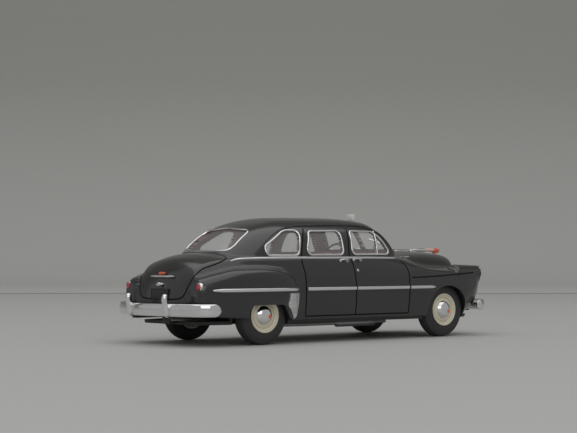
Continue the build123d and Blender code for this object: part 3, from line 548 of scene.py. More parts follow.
# Window outlines, corner by corner: y or x, z, corner radius
QUARTER_GLASS = (
    (31.2, 26.1, 1.3), (19.8, 26.1, 1.5), (17.6, 33.3, 1.3), (23.2, 33.3, 6.5), (31.4, 28.6, 1.2),
)
REAR_DOOR_GLASS = ((16.5, 26.3, 1.4), (1.9, 26.3, 1.4), (1.6, 33.3, 1.2), (13.7, 33.1, 1.6))
FRONT_DOOR_GLASS = (
    (-1.9, 26.4, 1.4), (-2.9, 33.3, 1.2), (-12.4, 33.2, 1.4), (-14.4, 31.7, 2.0), (-17.9, 26.5, 0.9),
)
SIDE_GLASSES = (QUARTER_GLASS, REAR_DOOR_GLASS, FRONT_DOOR_GLASS)
SCREEN_GLASS = ((0.45, 27.9, 0.3), (14.2, 27.7, 1.2), (12.1, 33.6, 1.4), (0.45, 34.0, 0.3))
REAR_GLASS = ((-11.2, 27.4, 1.6), (11.2, 27.4, 1.6), (10.2, 33.2, 1.8), (0, 34.0, 12.0), (-10.2, 33.2, 1.8))
# Front arch: centre y and z, radius; rear arch: corners
FRONT_ARCH = (-40.6, 7.2, 9.1)
REAR_ARCH = ((26.1, 0, 0.1), (26.1, 7.4, 0.6), (28.5, 11.7, 2.2), (41.6, 11.7, 2.6), (41.6, 0, 0.1))
# Door gaps in the side view, y and z, and the boot lid's, from below its handle round to the window
DOOR_LINES = (
    ((15.2, 34.0), (17.3, 30.5), (18.8, 25.8), (19.4, 23.5), (19.2, 20.5), (19.4, 15.7), (19.2, 8.0)),
    ((-2.2, 34.2), (-1.1, 30.4), (-0.4, 26.0), (-0.7, 22.0), (-0.6, 17.0), (-0.8, 8.0)),
    ((-20.7, 25.5), (-22.3, 23.8), (-23.4, 21.3), (-23.3, 16.7), (-23.1, 12.0), (-23.1, 8.0)),
)
DOOR_FOOT = ((19.2, 8.0), (-23.1, 8.0))
LID_BACK = ((0, 13.3), (4.9, 13.3), (9.2, 13.7), (10.9, 14.9), (11.7, 16.6), (12.3, 18.4), (12.9, 20.2))
LID_TOP = ((12.9, 54.5), (13.5, 53.0), (14.4, 50.3), (14.9, 46.8), (14.2, 44.3), (11.5, 43.4), (0, 43.9))
FENDER_LINE = ((-24.6, 19.0), (-30.0, 19.1), (-38.0, 19.4), (-46.0, 19.9), (-53.0, 20.3))
GAP_WIDTH = 0.45
GAP_DEPTH = 0.4
GAP_ABOVE = 0.35
ARCH_INNER_X = 12.2
LEAST_FACES = 100
# How far from the true surface a point still counts as on it
SKIN_REACH = 0.12

OUTSIDE_GRID = (300, 260)
HOLLOW_GRID = (150, 130)
FAN_SHARE = 0.17
SPINE_Y = (-46.0, 44.0)
SPINE_Z = 14.5


def skin_grid(shape, rows, turns):
    """The outermost surface met by rays from a spine along the car, fanned out at its ends."""
    fan = int(rows * FAN_SHARE)
    tilt = np.concatenate([np.linspace(-90, 0, fan, endpoint=False), np.zeros(rows - 2 * fan),
                           np.linspace(0, 90, fan + 1)[1:]])
    along = np.concatenate([np.full(fan, SPINE_Y[0]), np.linspace(*SPINE_Y, rows - 2 * fan),
                            np.full(fan, SPINE_Y[1])])
    around = np.linspace(-90, 270, turns, endpoint=False)
    tilt, turn = np.meshgrid(np.radians(tilt), np.radians(around), indexing="ij")
    ray = np.stack([np.cos(turn) * np.cos(tilt), np.sin(tilt), np.sin(turn) * np.cos(tilt)], -1)
    start = np.stack([np.zeros_like(turn), np.repeat(along[:, None], turns, 1),
                      np.full_like(turn, SPINE_Z)], -1)
    reach, steps = 42.0, 64
    last = np.zeros(turn.shape)
    for t in np.linspace(0, reach, steps):
        last = np.where(shape(start + ray * t) < 0, t, last)
    low, high = last, last + reach / (steps - 1)
    for _ in range(14):
        middle = (low + high) / 2
        inside = shape(start + ray * middle[..., None]) < 0
        low, high = np.where(inside, middle, low), np.where(inside, high, middle)
    grid = start + ray * low[..., None]
    points = [tuple(grid[0, 0])] + [tuple(p) for p in grid[1:-1].reshape(-1, 3)] + [tuple(grid[-1, 0])]
    inner_rows, faces = rows - 2, []
    for j in range(turns):
        k = (j + 1) % turns
        faces.append((0, 1 + k, 1 + j))
        for i in range(inner_rows - 1):
            a, b = 1 + i * turns, 1 + (i + 1) * turns
            faces.append((a + j, a + k, b + k, b + j))
        end = 1 + (inner_rows - 1) * turns
        faces.append((end + j, end + k, len(points) - 1))
    return points, faces


def cut(target, part, name):
    """Takes a closed part away from the target piece."""
    mesh = make_mesh(name, part)
    recalculate(mesh)
    tool = bpy.data.objects.new(name, mesh)
    bpy.context.scene.collection.objects.link(tool)
    step = target.modifiers.new(name, "BOOLEAN")
    step.operation = "DIFFERENCE"
    step.solver = "MANIFOLD"
    step.object = tool
    bpy.context.view_layer.update()
    evaluated = target.evaluated_get(bpy.context.evaluated_depsgraph_get())
    result = bpy.data.meshes.new_from_object(evaluated)
    target.modifiers.remove(step)
    if len(result.polygons) > LEAST_FACES:
        old = target.data
        target.data = result
        bpy.data.meshes.remove(old)
    else:
        print("cut failed:", name)
    bpy.data.objects.remove(tool)


def panel_gap(line):
    half = GAP_WIDTH / 2
    return band(line, [(-half, -GAP_DEPTH), (half, -GAP_DEPTH), (half, GAP_ABOVE), (-half, GAP_ABOVE)])


def build_shell():
    mesh = make_mesh("body_shell", skin_grid(bodywork, *OUTSIDE_GRID))
    recalculate(mesh)
    shell = bpy.data.objects.new("shell", mesh)
    bpy.context.scene.collection.objects.link(shell)
    cut(shell, skin_grid(hollow, *HOLLOW_GRID), "hollow")
    for number, corners in enumerate(SIDE_GLASSES):
        outline = rounded(corners)
        for side in SIDES:
            cut(shell, prism(outline, 0, side * 9.0, side * 25.0), f"side_{number}_{side}")
    for side in SIDES:
        outline = rounded(SCREEN_GLASS) * (side, 1)
        cut(shell, prism(outline, 1, -45.0, -10.0), f"screen_{side}")
    cut(shell, prism(rounded(REAR_GLASS), 1, 25.0, 60.0), "rear_window")
    arch_y, arch_z, arch_r = FRONT_ARCH
    front_arch = np.array(circle(arch_r, 72)) + (arch_y, arch_z)
    for side in SIDES:
        cut(shell, prism(front_arch, 0, side * ARCH_INNER_X, side * FAR_X), f"front_arch_{side}")
        cut(shell, prism(rounded(REAR_ARCH), 0, side * ARCH_INNER_X, side * FAR_X), f"rear_arch_{side}")
        for number, line in enumerate(DOOR_LINES):
            cut(shell, panel_gap(on_side(smooth_line(line, 0.4), side)), f"door_{number}_{side}")
        cut(shell, panel_gap(on_side(resample(DOOR_FOOT, 0.5), side)), f"door_foot_{side}")
        cut(shell, panel_gap(on_side(smooth_line(FENDER_LINE, 0.4), side)), f"fender_line_{side}")
        back = on_end(smooth_line(LID_BACK, 0.4) * (side, 1))
        top = on_top(smooth_line(LID_TOP, 0.4) * (side, 1))
        cut(shell, panel_gap(np.concatenate([back, top[2:]])), f"boot_lid_{side}")
    return shell


def finish_shell(shell):
    """Gives the shell its true surface normals outside, and trim-coloured faces within the cabin."""
    mesh = shell.data
    mesh.materials.clear()
    for finish in ("body_paint", "trim_beige", "chassis_black", "recess_black"):
        mesh.materials.append(FINISHES[finish])

    def read(items, key, width, kind=np.float32):
        values = np.zeros(len(items) * width, kind)
        items.foreach_get(key, values)
        return values.reshape(-1, width).astype(float) if width > 1 else values

    spots = read(mesh.vertices, "co", 3) / MM
    centres = read(mesh.polygons, "center", 3) / MM
    flats = read(mesh.polygons, "normal", 3)
    level = bodywork(centres)
    outside = (np.abs(level) < SKIN_REACH) & ((flats * slopes(centres)).sum(1) > 0.5)
    within = (hollow(centres) > -0.15) & (level < -0.5)
    inner = within & (centres[:, 2] > 22.0) & (np.abs(centres[:, 1] - 10) < 34)
    cut_faces = ~outside & ~within & (level > -0.8) & (level < 0.05) & (centres[:, 2] > 7.5)
    kinds = np.select([inner, within, cut_faces], [1, 2, 3], 0)
    mesh.polygons.foreach_set("material_index", kinds.astype(np.int32))
    mesh.shade_smooth()
    corners = read(mesh.loops, "vertex_index", 1, np.int32)
    owner = np.repeat(np.arange(len(mesh.polygons)), read(mesh.polygons, "loop_total", 1, np.int32))
    on_skin = outside[owner] & (np.abs(bodywork(spots)[corners]) < SKIN_REACH)
    normals = np.where(on_skin[:, None], slopes(spots)[corners], flats[owner])
    inward = -slopes(spots, hollow)[corners]
    smooth_inside = within[owner] & (np.abs((inward * flats[owner]).sum(1)) > 0.6)
    normals = np.where(smooth_inside[:, None], inward, normals)
    mesh.normals_split_custom_set(normals.tolist())


shell = build_shell()
finish_shell(shell)
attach(shell, "car")
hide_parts("body_shell")

# Glazing and its surrounds


FRAME_OUT = 0.16
FRAME = (0.62, 0.26)
GLASS_OUT = 0.02
GLASS_DEPTHS = (0.3, 0.62)
VENT_BAR = ((-13.5, 33.4), (-12.6, 30.0), (-12.3, 26.3))
SCREEN_EDGE = ((-14.2, 27.7, 1.2), (0, 27.9, 9.0), (14.2, 27.7, 1.2), (12.1, 33.6, 1.4), (0, 34.0, 9.0),
               (-12.1, 33.6, 1.4))


def front_spots(spots, level=0.0):
    return on_end(spots, -1, level)


def rear_spots(spots, level=0.0):
    return on_end(spots, 1, level)


def side_frame(corners, side):
    outline = on_side(grow(rounded(corners), FRAME_OUT), side)
    return band(outline, half_round(*FRAME), closed=True)


def side_pane(corners, side):
    outline = grow(rounded(corners), GLASS_OUT)
    return patch(outline, lambda spots, level: on_side(spots, side, level), *GLASS_DEPTHS)


def screen_pane(side):
    return patch(grow(rounded(SCREEN_GLASS), GLASS_OUT) * (side, 1), front_spots, *GLASS_DEPTHS)


def vent_bar(side):
    return band(on_side(smooth_line(VENT_BAR, 0.4), side), half_round(0.45, 0.24, 0.5))


add_piece("side_glass", join(*(side_pane(corners, side) for corners in SIDE_GLASSES for side in SIDES)),
          "clear", replaces=["side_windows"])
add_piece("screen_glass", both_sides(screen_pane), "clear", replaces=["windscreen"])
add_piece("rear_glass", patch(grow(rounded(REAR_GLASS), GLASS_OUT), rear_spots, *GLASS_DEPTHS),
          "clear", replaces=["rear_window"])
add_piece("side_frames", join(*(side_frame(corners, side) for corners in SIDE_GLASSES for side in SIDES),
                              both_sides(vent_bar)), "chrome", replaces=["side_window_frames"])
add_piece("screen_frame", join(
    band(front_spots(grow(rounded(SCREEN_EDGE), FRAME_OUT)), half_round(*FRAME), closed=True),
    tube(front_spots(resample(((0, 27.9), (0, 34.0)), 0.4)), half_round(0.8, 0.34, 0.6), (0, -0.8, 0.6))),
    "chrome", replaces=["windscreen_frame"])
add_piece("rear_window_surround",
          band(rear_spots(grow(rounded(REAR_GLASS), FRAME_OUT)), half_round(0.6, 0.26), closed=True),
          "chrome", replaces=["rear_window_frame"])

# Trim along the sides

DRIP_LINE = ((31.8, 29.3), (28.8, 31.4), (24.3, 33.4), (19.8, 34.4), (14.5, 34.8), (3.4, 35.1), (-5.0, 35.1),
             (-10.5, 34.7), (-14.0, 33.5), (-17.0, 31.2), (-19.6, 28.2), (-21.2, 25.9))
BELT_LINE = ((43.9, 24.3), (42.2, 24.7), (39.0, 24.95), (27.0, BELT_Z), (10.0, BELT_Z), (-8.0, BELT_Z),
             (-21.0, 25.1))
SILL_LINE = ((18.6, 7.3), (-2.0, 7.3), (-22.6, 7.3))
BONNET_BAR = ((-26.0, 25.4), (-29.0, 25.45), (-31.6, 25.4))
# Side strips between the door gaps: y of three points, taper at the first and last end
STRIPS = (
    (53.3, 38, 22.8, 7, 0), (18.9, 10, -0.45, 0, 0), (-0.95, -12, -22.9, 0, 0), (-23.5, -30, -34.4, 0, 4),
)


def tips(count, start, stop):
    """A scale that tapers to its ends over the given numbers of points."""
    i = np.arange(count)
    rise = np.clip((i + 1) / max(start, 1), 0.12, 1) if start else np.ones(count)
    fall = np.clip((count - i) / max(stop, 1), 0.12, 1) if stop else np.ones(count)
    return np.sqrt(rise * fall)


def side_strip(line, section, side, start=0, stop=0, step=0.5, lift=0.0):
    points = on_side(smooth_line(line, step), side)
    return band(points, section, scale=tips(len(points), start, stop), lift=lift)


DRIP_SECTION = half_round(0.5, 0.42, 0.3)
BELT_SECTION = half_round(0.75, 0.4, 0.3)
SILL_SECTION = half_round(0.5, 0.2, 0.3)
BAR_SECTION = half_round(0.5, 0.3, 0.3)
add_piece("drip_rails", both_sides(lambda side: side_strip(DRIP_LINE, DRIP_SECTION, side, 6, 3)), "body_paint")
add_piece("belt_strips", both_sides(lambda side: side_strip(BELT_LINE, BELT_SECTION, side, 7, 3)), "chrome",
          replaces=["belt_mouldings"])
add_piece("side_strips", join(*(
    side_strip([(y, TRIM_Z) for y in row[:3]], half_round(1.05, 0.42, 0.3), side, *row[3:])
    for side in SIDES for row in STRIPS)), "chrome", replaces=["side_mouldings"])
add_piece("sill_strips", both_sides(lambda side: side_strip(SILL_LINE, SILL_SECTION, side, 3, 3)), "body_paint")

# Gravel guard: y of its front and back edges against z
GUARD_FRONT = ((7.4, 8.2, 10, 12, 14.9), (24.3, 23.7, 23.1, 22.7, 22.5))
GUARD_BACK = ((7.4, 9.0, 10.4, 11.3, 12.6, 14.9), (25.0, 25.7, 26.6, 27.4, 27.0, 26.6))
GUARD_GRID = (26, 60)
GUARD_PITCH = 3.0


def gravel_shield(side):
    """A plated guard on the wing's front edge, with a raised diamond grid."""
    across, up = GUARD_GRID
    heights = np.linspace(GUARD_FRONT[0][0], GUARD_FRONT[0][-1], up)
    front, back = curve(*GUARD_FRONT, heights), curve(*GUARD_BACK, heights)
    spots, lift = [], []
    for row, z in enumerate(heights):
        for column in range(across):
            share = column / (across - 1)
            spots.append((front[row] + (back[row] - front[row]) * share, z))
            rim = column in (0, across - 1) or row in (0, up - 1)
            ridges = [math.cos(math.pi * (row + lean * column) / GUARD_PITCH) ** 2 for lean in SIDES]
            lift.append(0.28 if rim else 0.10 + 0.16 * max(ridges))
    base = on_side(np.array(spots), side)
    out = slopes(base)
    outer = base + out * np.array(lift)[:, None]
    inner = base - out * 0.15
    total = across * up
    faces = []
    for row in range(up - 1):
        for column in range(across - 1):
            a = row * across + column
            faces.append((a, a + 1, a + across + 1, a + across))
            faces.append((total + a + across, total + a + across + 1, total + a + 1, total + a))
    rim = (list(range(across)) + [row * across + across - 1 for row in range(1, up)]
           + [(up - 1) * across + column for column in range(across - 2, -1, -1)]
           + [row * across for row in range(up - 2, 0, -1)])
    for a, b in zip(rim, rim[1:] + rim[:1]):
        faces.append((a, total + a, total + b, b))
    return [tuple(p) for p in np.concatenate([outer, inner])], faces


add_piece("gravel_guards", both_sides(gravel_shield), "chrome", replaces=["gravel_shields"])

# Door furniture, bonnet trim and wipers


def door_handle(y, z, side, forward):
    """A pull handle on two posts; its thicker end lies towards the rear, or the front where forward."""
    base = on_side(np.array([(y + d, z) for d in np.linspace(-1.75, 1.75, 9)]), side)
    out = slopes(base)
    bow = np.array([0.45, 0.72, 0.8, 0.82, 0.82, 0.82, 0.78, 0.7, 0.5])
    thick = np.array([0.55, 0.85, 0.95, 1.0, 1.0, 1.05, 1.15, 1.2, 0.8])
    if forward:
        thick = thick[::-1]
    section = [(0.42 * u, 0.7 * v) for u, v in circle(0.62, 12)]
    grip = tube(base + out * bow[:, None], section, out, scale=thick)
    posts = []
    for index in (1, 7):
        foot, normal = base[index], out[index]
        posts.append(tube([foot + normal * rise for rise in (-0.1, 0.12, 0.14, 0.75)],
                          circle(0.5, 12), (0, 0, 1), scale=[1, 1, 0.6, 0.5]))
    return join(grip, *posts)


def door_lock(side):
    foot = on_side(np.array([(-2.1, 21.4)]), side)[0]
    normal = slopes(foot[None])[0]
    path = [foot - normal * 0.1, foot + normal * 0.12, foot + normal * 0.2]
    return tube(path, circle(0.42, 16), (0, 0, 1), scale=[1, 1, 0.7])


HANDLE_PLACES = ((2.7, 24.3), (-2.9, 24.5))
add_piece("door_pulls", join(*(door_handle(y, z, side, y < 0) for side in SIDES for y, z in HANDLE_PLACES),
                             both_sides(door_lock)), "chrome", replaces=["door_handles"])
add_piece("bonnet_side_bars", both_sides(lambda side: side_strip(BONNET_BAR, BAR_SECTION, side, 3, 3, 0.3)),
          "chrome")


def spear(y0, y1, z, width, low, high, scales):
    """A level bar along the middle of the bonnet, from low to high about z, scaled along its length."""
    section = [(width * u, (high if v > 0 else low) * 2 * v) for u, v in circle(0.5, 16)]
    return tube([(0, y, z) for y in np.linspace(y0, y1, len(scales))], section, (0, 0, 1), scale=scales)


def wiper(side):
    """An arm, its blade and its pivot."""
    pivot = front_spots(np.array([(side * 3.4, 27.2)]))[0]
    arm = front_spots(resample(((side * 3.4, 27.2), (side * 8.0, 30.6)), 0.5))
    blade = front_spots(resample(((side * 4.6, 30.9), (side * 10.9, 29.4)), 0.5))
    return join(band(arm, circle(0.16, 8), lift=0.55),
                band(blade, [(-0.14, -0.35), (0.14, -0.35), (0.2, 0.1), (-0.2, 0.1)], lift=0.42),
                moved(lathe([(0, 0), (0, 0.45), (0.5, 0.4), (0.65, 0)], 16), pivot - (0, 0.1, 0.1),
                      [[0, 1, 0], [-0.8, 0, 0.6], [0.6, 0, 0.8]]))


ORNAMENT_Z = 27.6
FOOT_SECTION = ((-0.45, -0.3), (0.45, -0.3), (0.4, 0.3), (0.18, 0.75), (-0.18, 0.75), (-0.4, 0.3))
foot_line = on_top(np.array([(0, y) for y in np.linspace(-44.2, -56.0, 16)]))
add_piece("ornament_base", join(
    tube(foot_line, FOOT_SECTION, (0, 0, 1), scale=tips(16, 3, 4)),
    spear(-44.0, -50.6, ORNAMENT_Z, 1.15, 0.6, 0.6, [0.25, 0.6, 0.85, 1, 1.05, 1.1, 1.1, 1.05])),
    "chrome", replaces=["bonnet_ornament"])
add_piece("ornament_fin", spear(-50.2, -55.0, ORNAMENT_Z, 1.0, 0.6, 0.6, [0.9, 1, 1, 1, 1, 1, 0.9]),
          "crest_pink", replaces=["bonnet_crest"])
add_piece("ornament_tip",
          spear(-54.2, -57.4, ORNAMENT_Z - 0.1, 1.3, 0.9, 0.75, [0.5, 0.95, 1.05, 1.1, 1.0, 0.85, 0.45]),
          "crest_red")
add_piece("wiper_arms", both_sides(wiper), "chrome", replaces=["wipers"])

# Bumpers


GUARD_X = 9.0
# How far a guard stands out and up from the blade's middle, from foot to tip
GUARD_STEM = (
    (0.1, -1.9), (0.5, -1.2), (0.75, 0.0), (0.9, 1.2), (1.15, 2.2), (1.35, 3.1), (1.2, 3.7), (0.6, 3.9),
)
IRON_Z = (7.7, 8.9)


def bumper(end, middle_y, z, corner, tip, height, arm_y):
    """A wrapped blade with two upright guards and the irons that carry it."""
    across = np.linspace(0, corner[0], 24)
    bow = np.array([(x, middle_y + (corner[1] - middle_y) * (x / corner[0]) ** 2) for x in across])
    turn = np.linspace(0, 1, 22)[1:, None]
    lean = bow[-1] - bow[-2]
    knee = bow[-1] + lean / np.linalg.norm(lean) * 5.6
    wrap = (1 - turn) ** 2 * bow[-1] + 2 * turn * (1 - turn) * knee + turn ** 2 * np.array(tip)
    half = np.concatenate([bow, wrap])
    flat = np.concatenate([(half * (-1, 1))[:0:-1], half])
    path = np.column_stack([flat, np.full(len(flat), z)])
    face = [(0.5 * height * math.sin(t), 0.62 * math.cos(t) ** 0.7 if math.cos(t) > 0 else 0)
            for t in np.linspace(-math.pi / 2, math.pi / 2, 15)]
    section = face + [(0.38 * height, -0.30), (0, 0.02), (-0.38 * height, -0.30)]
    outward = np.zeros_like(path)
    along = np.gradient(path, axis=0)
    outward[:, 0], outward[:, 1] = along[:, 1], -along[:, 0]
    outward *= np.sign(outward[len(path) // 2, 1]) * end
    scale = np.ones(len(path))
    ends = np.array([0.45, 0.72, 0.88, 0.96])
    scale[:4], scale[-4:] = ends, ends[::-1]
    blade = tube(path, section, outward, scale=scale)
    guard_y = middle_y + (corner[1] - middle_y) * (GUARD_X / corner[0]) ** 2
    stem = smooth_line([(GUARD_X, guard_y + end * dy, z + dz) for dy, dz in GUARD_STEM], 0.3)
    section = [(1.15 * u, v) for u, v in circle(0.95, 18)]
    guard = tube(stem, section, (1, 0, 0), scale=tips(len(stem), 4, 3) * 0.95)
    low_y, high_y = sorted((guard_y - end * 0.6, arm_y))
    iron = rounded_box((GUARD_X - 1.0, low_y, IRON_Z[0]), (GUARD_X + 1.0, high_y, IRON_Z[1]), 0.25)
    return blade, mirrored(guard), mirrored(iron)


for name, end, facts in (
        ("rear", 1, (61.7, 10.4, (16.6, 59.0), (21.5, 51.9), 3.7, 48.0)),
        ("front", -1, (-63.0, 9.9, (15.6, -60.2), (20.6, -53.8), 3.4, -46.0))):
    blade, guards, irons = bumper(end, *facts)
    add_piece(f"{name}_bumper_blade", join(blade, guards), "chrome", replaces=[f"{name}_bumper"], crease=50)
    add_piece(f"{name}_bumper_irons", irons, "chassis_black")

# Lamps, grille and the fittings of nose and tail


def facing(part, spot, end):
    """A turned part, made along X, set at a spot to face the front (-1) or the rear (1)."""
    return moved(part, spot, [[0, 1, 0], [end, 0, 0], [0, 0, 1]])


def lamp_pair(profile, segments, spots, end, dent=None):
    return join(*(facing(lathe(profile, segments, dent), spot, end) for spot in spots))


HEAD_R = 2.75
HEAD_RIM = (
    (-0.6, HEAD_R - 0.15), (0.1, HEAD_R), (0.5, HEAD_R - 0.05), (0.85, HEAD_R - 0.3), (0.95, HEAD_R - 0.55),
    (0.8, HEAD_R - 0.72), (0.3, HEAD_R - 0.75), (-0.6, HEAD_R - 0.7), (-0.6, HEAD_R - 0.15),
)
HEAD_LENS = ((0.45, HEAD_R - 0.76), (0.7, HEAD_R - 0.8), (0.95, 1.4), (1.05, 0.7), (1.08, 0))
HEAD_BOWL = ((0.42, HEAD_R - 0.78), (0.1, 1.7), (-0.25, 1.0), (-0.4, 0.3), (-0.42, 0))
PARK_LENS = ((-0.5, 0.7), (0.3, 0.7), (0.55, 0.45), (0.65, 0))
PARK_RING = ((-0.5, 0.95), (0.2, 0.95), (0.32, 0.8), (0.25, 0.72), (-0.5, 0.72), (-0.5, 0.95))
TAIL_LENS = ((-0.6, 0.95), (0.5, 0.95), (0.85, 0.72), (1.02, 0.35), (1.06, 0))
TAIL_RING = ((-0.8, 1.35), (0.35, 1.38), (0.62, 1.22), (0.66, 1.05), (0.5, 0.96), (-0.8, 0.96), (-0.8, 1.35))
head_spots = [(side * LAMP_X, LAMP_FACE_Y, LAMP_Z) for side in SIDES]
park_spots = front_spots(np.array([(side * 14.6, 14.9) for side in SIDES]))
tail_spots = rear_spots(np.array([(side * 17.3, 16.9) for side in SIDES])) - (0, 0.75, 0)
add_piece("headlamp_bezels", lamp_pair(HEAD_RIM, 56, head_spots, -1), "chrome", replaces=["headlamp_rims"])
add_piece("headlamp_glasses", lamp_pair(HEAD_LENS, 56, head_spots, -1, lambda k, i: 0.03 * (i % 4 == 0)),
          "lamp_glass", replaces=["headlamp_lenses"])
add_piece("headlamp_bowls", lamp_pair(HEAD_BOWL, 40, head_spots, -1), "chrome")
add_piece("parking_lamp_glasses", lamp_pair(PARK_LENS, 28, park_spots, -1), "lamp_glass",
          replaces=["parking_lamps"])
add_piece("parking_lamp_rings", lamp_pair(PARK_RING, 28, park_spots, -1), "chrome")
add_piece("tail_lamp_rings", lamp_pair(TAIL_RING, 40, tail_spots, 1), "chrome", replaces=["tail_lamp_bezels"])
add_piece("tail_lamp_glasses", lamp_pair(TAIL_LENS, 40, tail_spots, 1), "red_lens",
          replaces=["tail_lamp_lenses"])

GRILLE_HALF = 11.6
GRILLE_LOW, GRILLE_HIGH = 10.8, 17.6
GRILLE_EDGE = (
    (-GRILLE_HALF, GRILLE_LOW, 2.4), (GRILLE_HALF, GRILLE_LOW, 2.4),
    (GRILLE_HALF - 0.8, GRILLE_HIGH, 2.6), (-GRILLE_HALF + 0.8, GRILLE_HIGH, 2.6),
)
# Level bars: z, half width
GRILLE_BARS = ((12.2, 11.2), (13.55, 11.3), (14.9, 11.2), (16.25, 10.9))
bars = [band(front_spots(resample(((-half, z), (half, z)), 0.6)), half_round(0.62, 0.5, 0.2), lift=0.1)
        for z, half in GRILLE_BARS]
upright_z = GRILLE_LOW + 0.4, GRILLE_HIGH - 0.4
uprights = [band(front_spots(resample([(x, z) for z in upright_z], 0.5)), half_round(0.4, 0.3, 0.2))
            for x in np.linspace(-9.0, 9.0, 11)]
surround = band(front_spots(rounded(GRILLE_EDGE)), half_round(0.95, 0.7, 0.2), closed=True)
add_piece("grille_bars", join(surround, *bars, *uprights), "chrome", replaces=["grille"])
add_piece("grille_recess", patch(grow(rounded(GRILLE_EDGE), -0.1), front_spots, -0.06, 0.3), "recess_black")

PLATE_X, PLATE_LOW, PLATE_HIGH = 4.1, 12.8, 16.4
PLATE_LIP = 0.2
plate_y = rear_spots(np.array([(0, 14.6)]))[0][1]
lip_x = PLATE_X - PLATE_LIP
lip = rounded(((-lip_x, PLATE_LOW + PLATE_LIP, 0.3), (lip_x, PLATE_LOW + PLATE_LIP, 0.3),
               (lip_x, PLATE_HIGH - PLATE_LIP, 0.3), (-lip_x, PLATE_HIGH - PLATE_LIP, 0.3)))
add_piece("rear_plate", join(
    rounded_box((-PLATE_X, plate_y - 0.3, PLATE_LOW), (PLATE_X, plate_y + 0.35, PLATE_HIGH), 0.18),
    tube([(x, plate_y + 0.36, z) for x, z in lip], circle(0.09, 8), (0, 1, 0), closed=True)),
    "plate_black", replaces=["number_plate"])
lamp_spot = rear_spots(np.array([(0, 17.7)]))[0]
LAMP_TUBE = ((-0.9, 0), (-0.9, 0.45), (-0.5, 0.62), (0.5, 0.62), (0.9, 0.45), (0.9, 0))
add_piece("plate_lamp_cover", join(
    rounded_box(lamp_spot + (-1.5, -0.4, -0.4), lamp_spot + (1.5, 0.9, 0.35), 0.3),
    moved(lathe(LAMP_TUBE, 24), lamp_spot + (0, 0.85, -0.1))), "chrome", replaces=["plate_lamp"])
handle_line = rear_spots(np.array([(x, 19.9) for x in np.linspace(-5.7, 5.7, 25)]))
add_piece("boot_pull", tube(handle_line + (0, 0.6, 0), [(0.5 * u, 0.72 * v) for u, v in circle(0.75, 14)],
                            (0, 1, 0.3), scale=tips(25, 5, 5)), "chrome", replaces=["boot_handle"])
badge_y = handle_line[12][1] + 1.15
add_piece("boot_badge", rounded_box((-1.05, badge_y - 1.3, 20.45), (1.05, badge_y, 21.15), 0.25), "crest_red",
          replaces=["boot_emblem"])

SIGN_Y = -17.2
SIGN_FOOT_Z, SIGN_TOP_Z = 36.9, 38.95
sign_roof = on_top(np.array([(0, SIGN_Y)]))[0][2]
add_piece("taxi_sign", join(
    rounded_box((-1.35, SIGN_Y - 0.7, SIGN_FOOT_Z), (1.35, SIGN_Y + 0.7, SIGN_TOP_Z), 0.25),
    rounded_box((-1.1, SIGN_Y - 0.5, sign_roof - 0.25), (1.1, SIGN_Y + 0.5, SIGN_FOOT_Z), 0.15)),
    "white_gloss", replaces=["roof_sign"])

# Wheels: tyre with moulded tread, pressed rim with its groove, and domed hubcap


TREAD_RINGS = 23
TREAD_GROOVES = (4, 5, 10, 12, 17, 18)
TREAD_EDGES = (2, 8, 14, 20)
TREAD_MIDDLE = 11


def tyre_part():
    """A tyre with grooves round it and blocks between them."""
    wall = [(-TYRE_HALF + 0.35, RIM_R - 0.15), (-TYRE_HALF + 0.1, RIM_R + 0.25), (-TYRE_HALF, RIM_R + 0.9),
            (-TYRE_HALF - 0.02, RIM_R + 1.7), (-TYRE_HALF + 0.12, RIM_R + 2.35),
            (-TYRE_HALF + 0.3, RIM_R + 2.75)]
    crown = [(t * (TYRE_HALF - 0.42), TYRE_R - 0.42 * abs(t) ** 3.2) for t in np.linspace(-1, 1, TREAD_RINGS)]
    other = [(-a, r) for a, r in reversed(wall)]
    profile = wall + crown + other + [(0, RIM_R - 0.2), wall[0]]
    first = len(wall)

    def dent(k, i):
        c = k - first
        if not 0 <= c < TREAD_RINGS:
            return 0.05 if k in (2, 3) and i % 6 == 0 else 0
        if c in TREAD_GROOVES:
            return 0.16
        shift = (2 if c > TREAD_MIDDLE else 0) + (1 if c in TREAD_EDGES else 0)
        return 0.12 if (i + shift) % 5 == 0 and c != TREAD_MIDDLE else 0

    return lathe(profile, 180, dent)


# Profiles from the tyre's outer face, out along the axle, and radius
RIM_FACE = (
    (0.12, RIM_R + 0.12), (0.25, RIM_R - 0.05), (0.2, RIM_R - 0.25), (-0.1, RIM_R - 0.42),
    (-0.15, RIM_R - 0.75), (-0.3, RIM_R - 0.95), (-0.62, RIM_R - 1.05), (-0.66, RIM_R - 1.2),
    (-0.4, RIM_R - 1.35), (-0.25, RIM_R - 1.6), (-0.25, 2.7), (-0.4, 2.2), (-0.4, 0.85),
)
CAP_FACE = (
    (-0.35, 0), (-0.35, 2.75), (-0.12, 2.85), (0.05, 2.7), (0.3, 2.5), (0.62, 2.1), (0.9, 1.5), (1.05, 0.8),
    (1.1, 0),
)
MARK_FACE = ((0.95, 0), (1.04, 0.55), (1.13, 0.5), (1.16, 0))
# The rim's inner side, from the tyre's middle
RIM_BACK = (
    (-TYRE_HALF + 0.6, 0.85), (-TYRE_HALF + 0.6, 1.6), (0.4, 2.0), (0.2, RIM_R - 0.9),
    (-TYRE_HALF + 0.2, RIM_R - 0.6), (-TYRE_HALF + 0.1, RIM_R + 0.05), (0, RIM_R - 0.1),
)
RIM_PROFILE, CAP_PROFILE, MARK = (
    [(TYRE_HALF + out, radius) for out, radius in face] for face in (RIM_FACE, CAP_FACE, MARK_FACE))
RIM_PROFILE += [*RIM_BACK, RIM_PROFILE[0]]
MARK_RADIUS = 1.1
FLIP = [[-1, 0, 0], [0, -1, 0], [0, 0, 1]]
MARK_TURN = {"front": 0.5, "rear": 0.3}


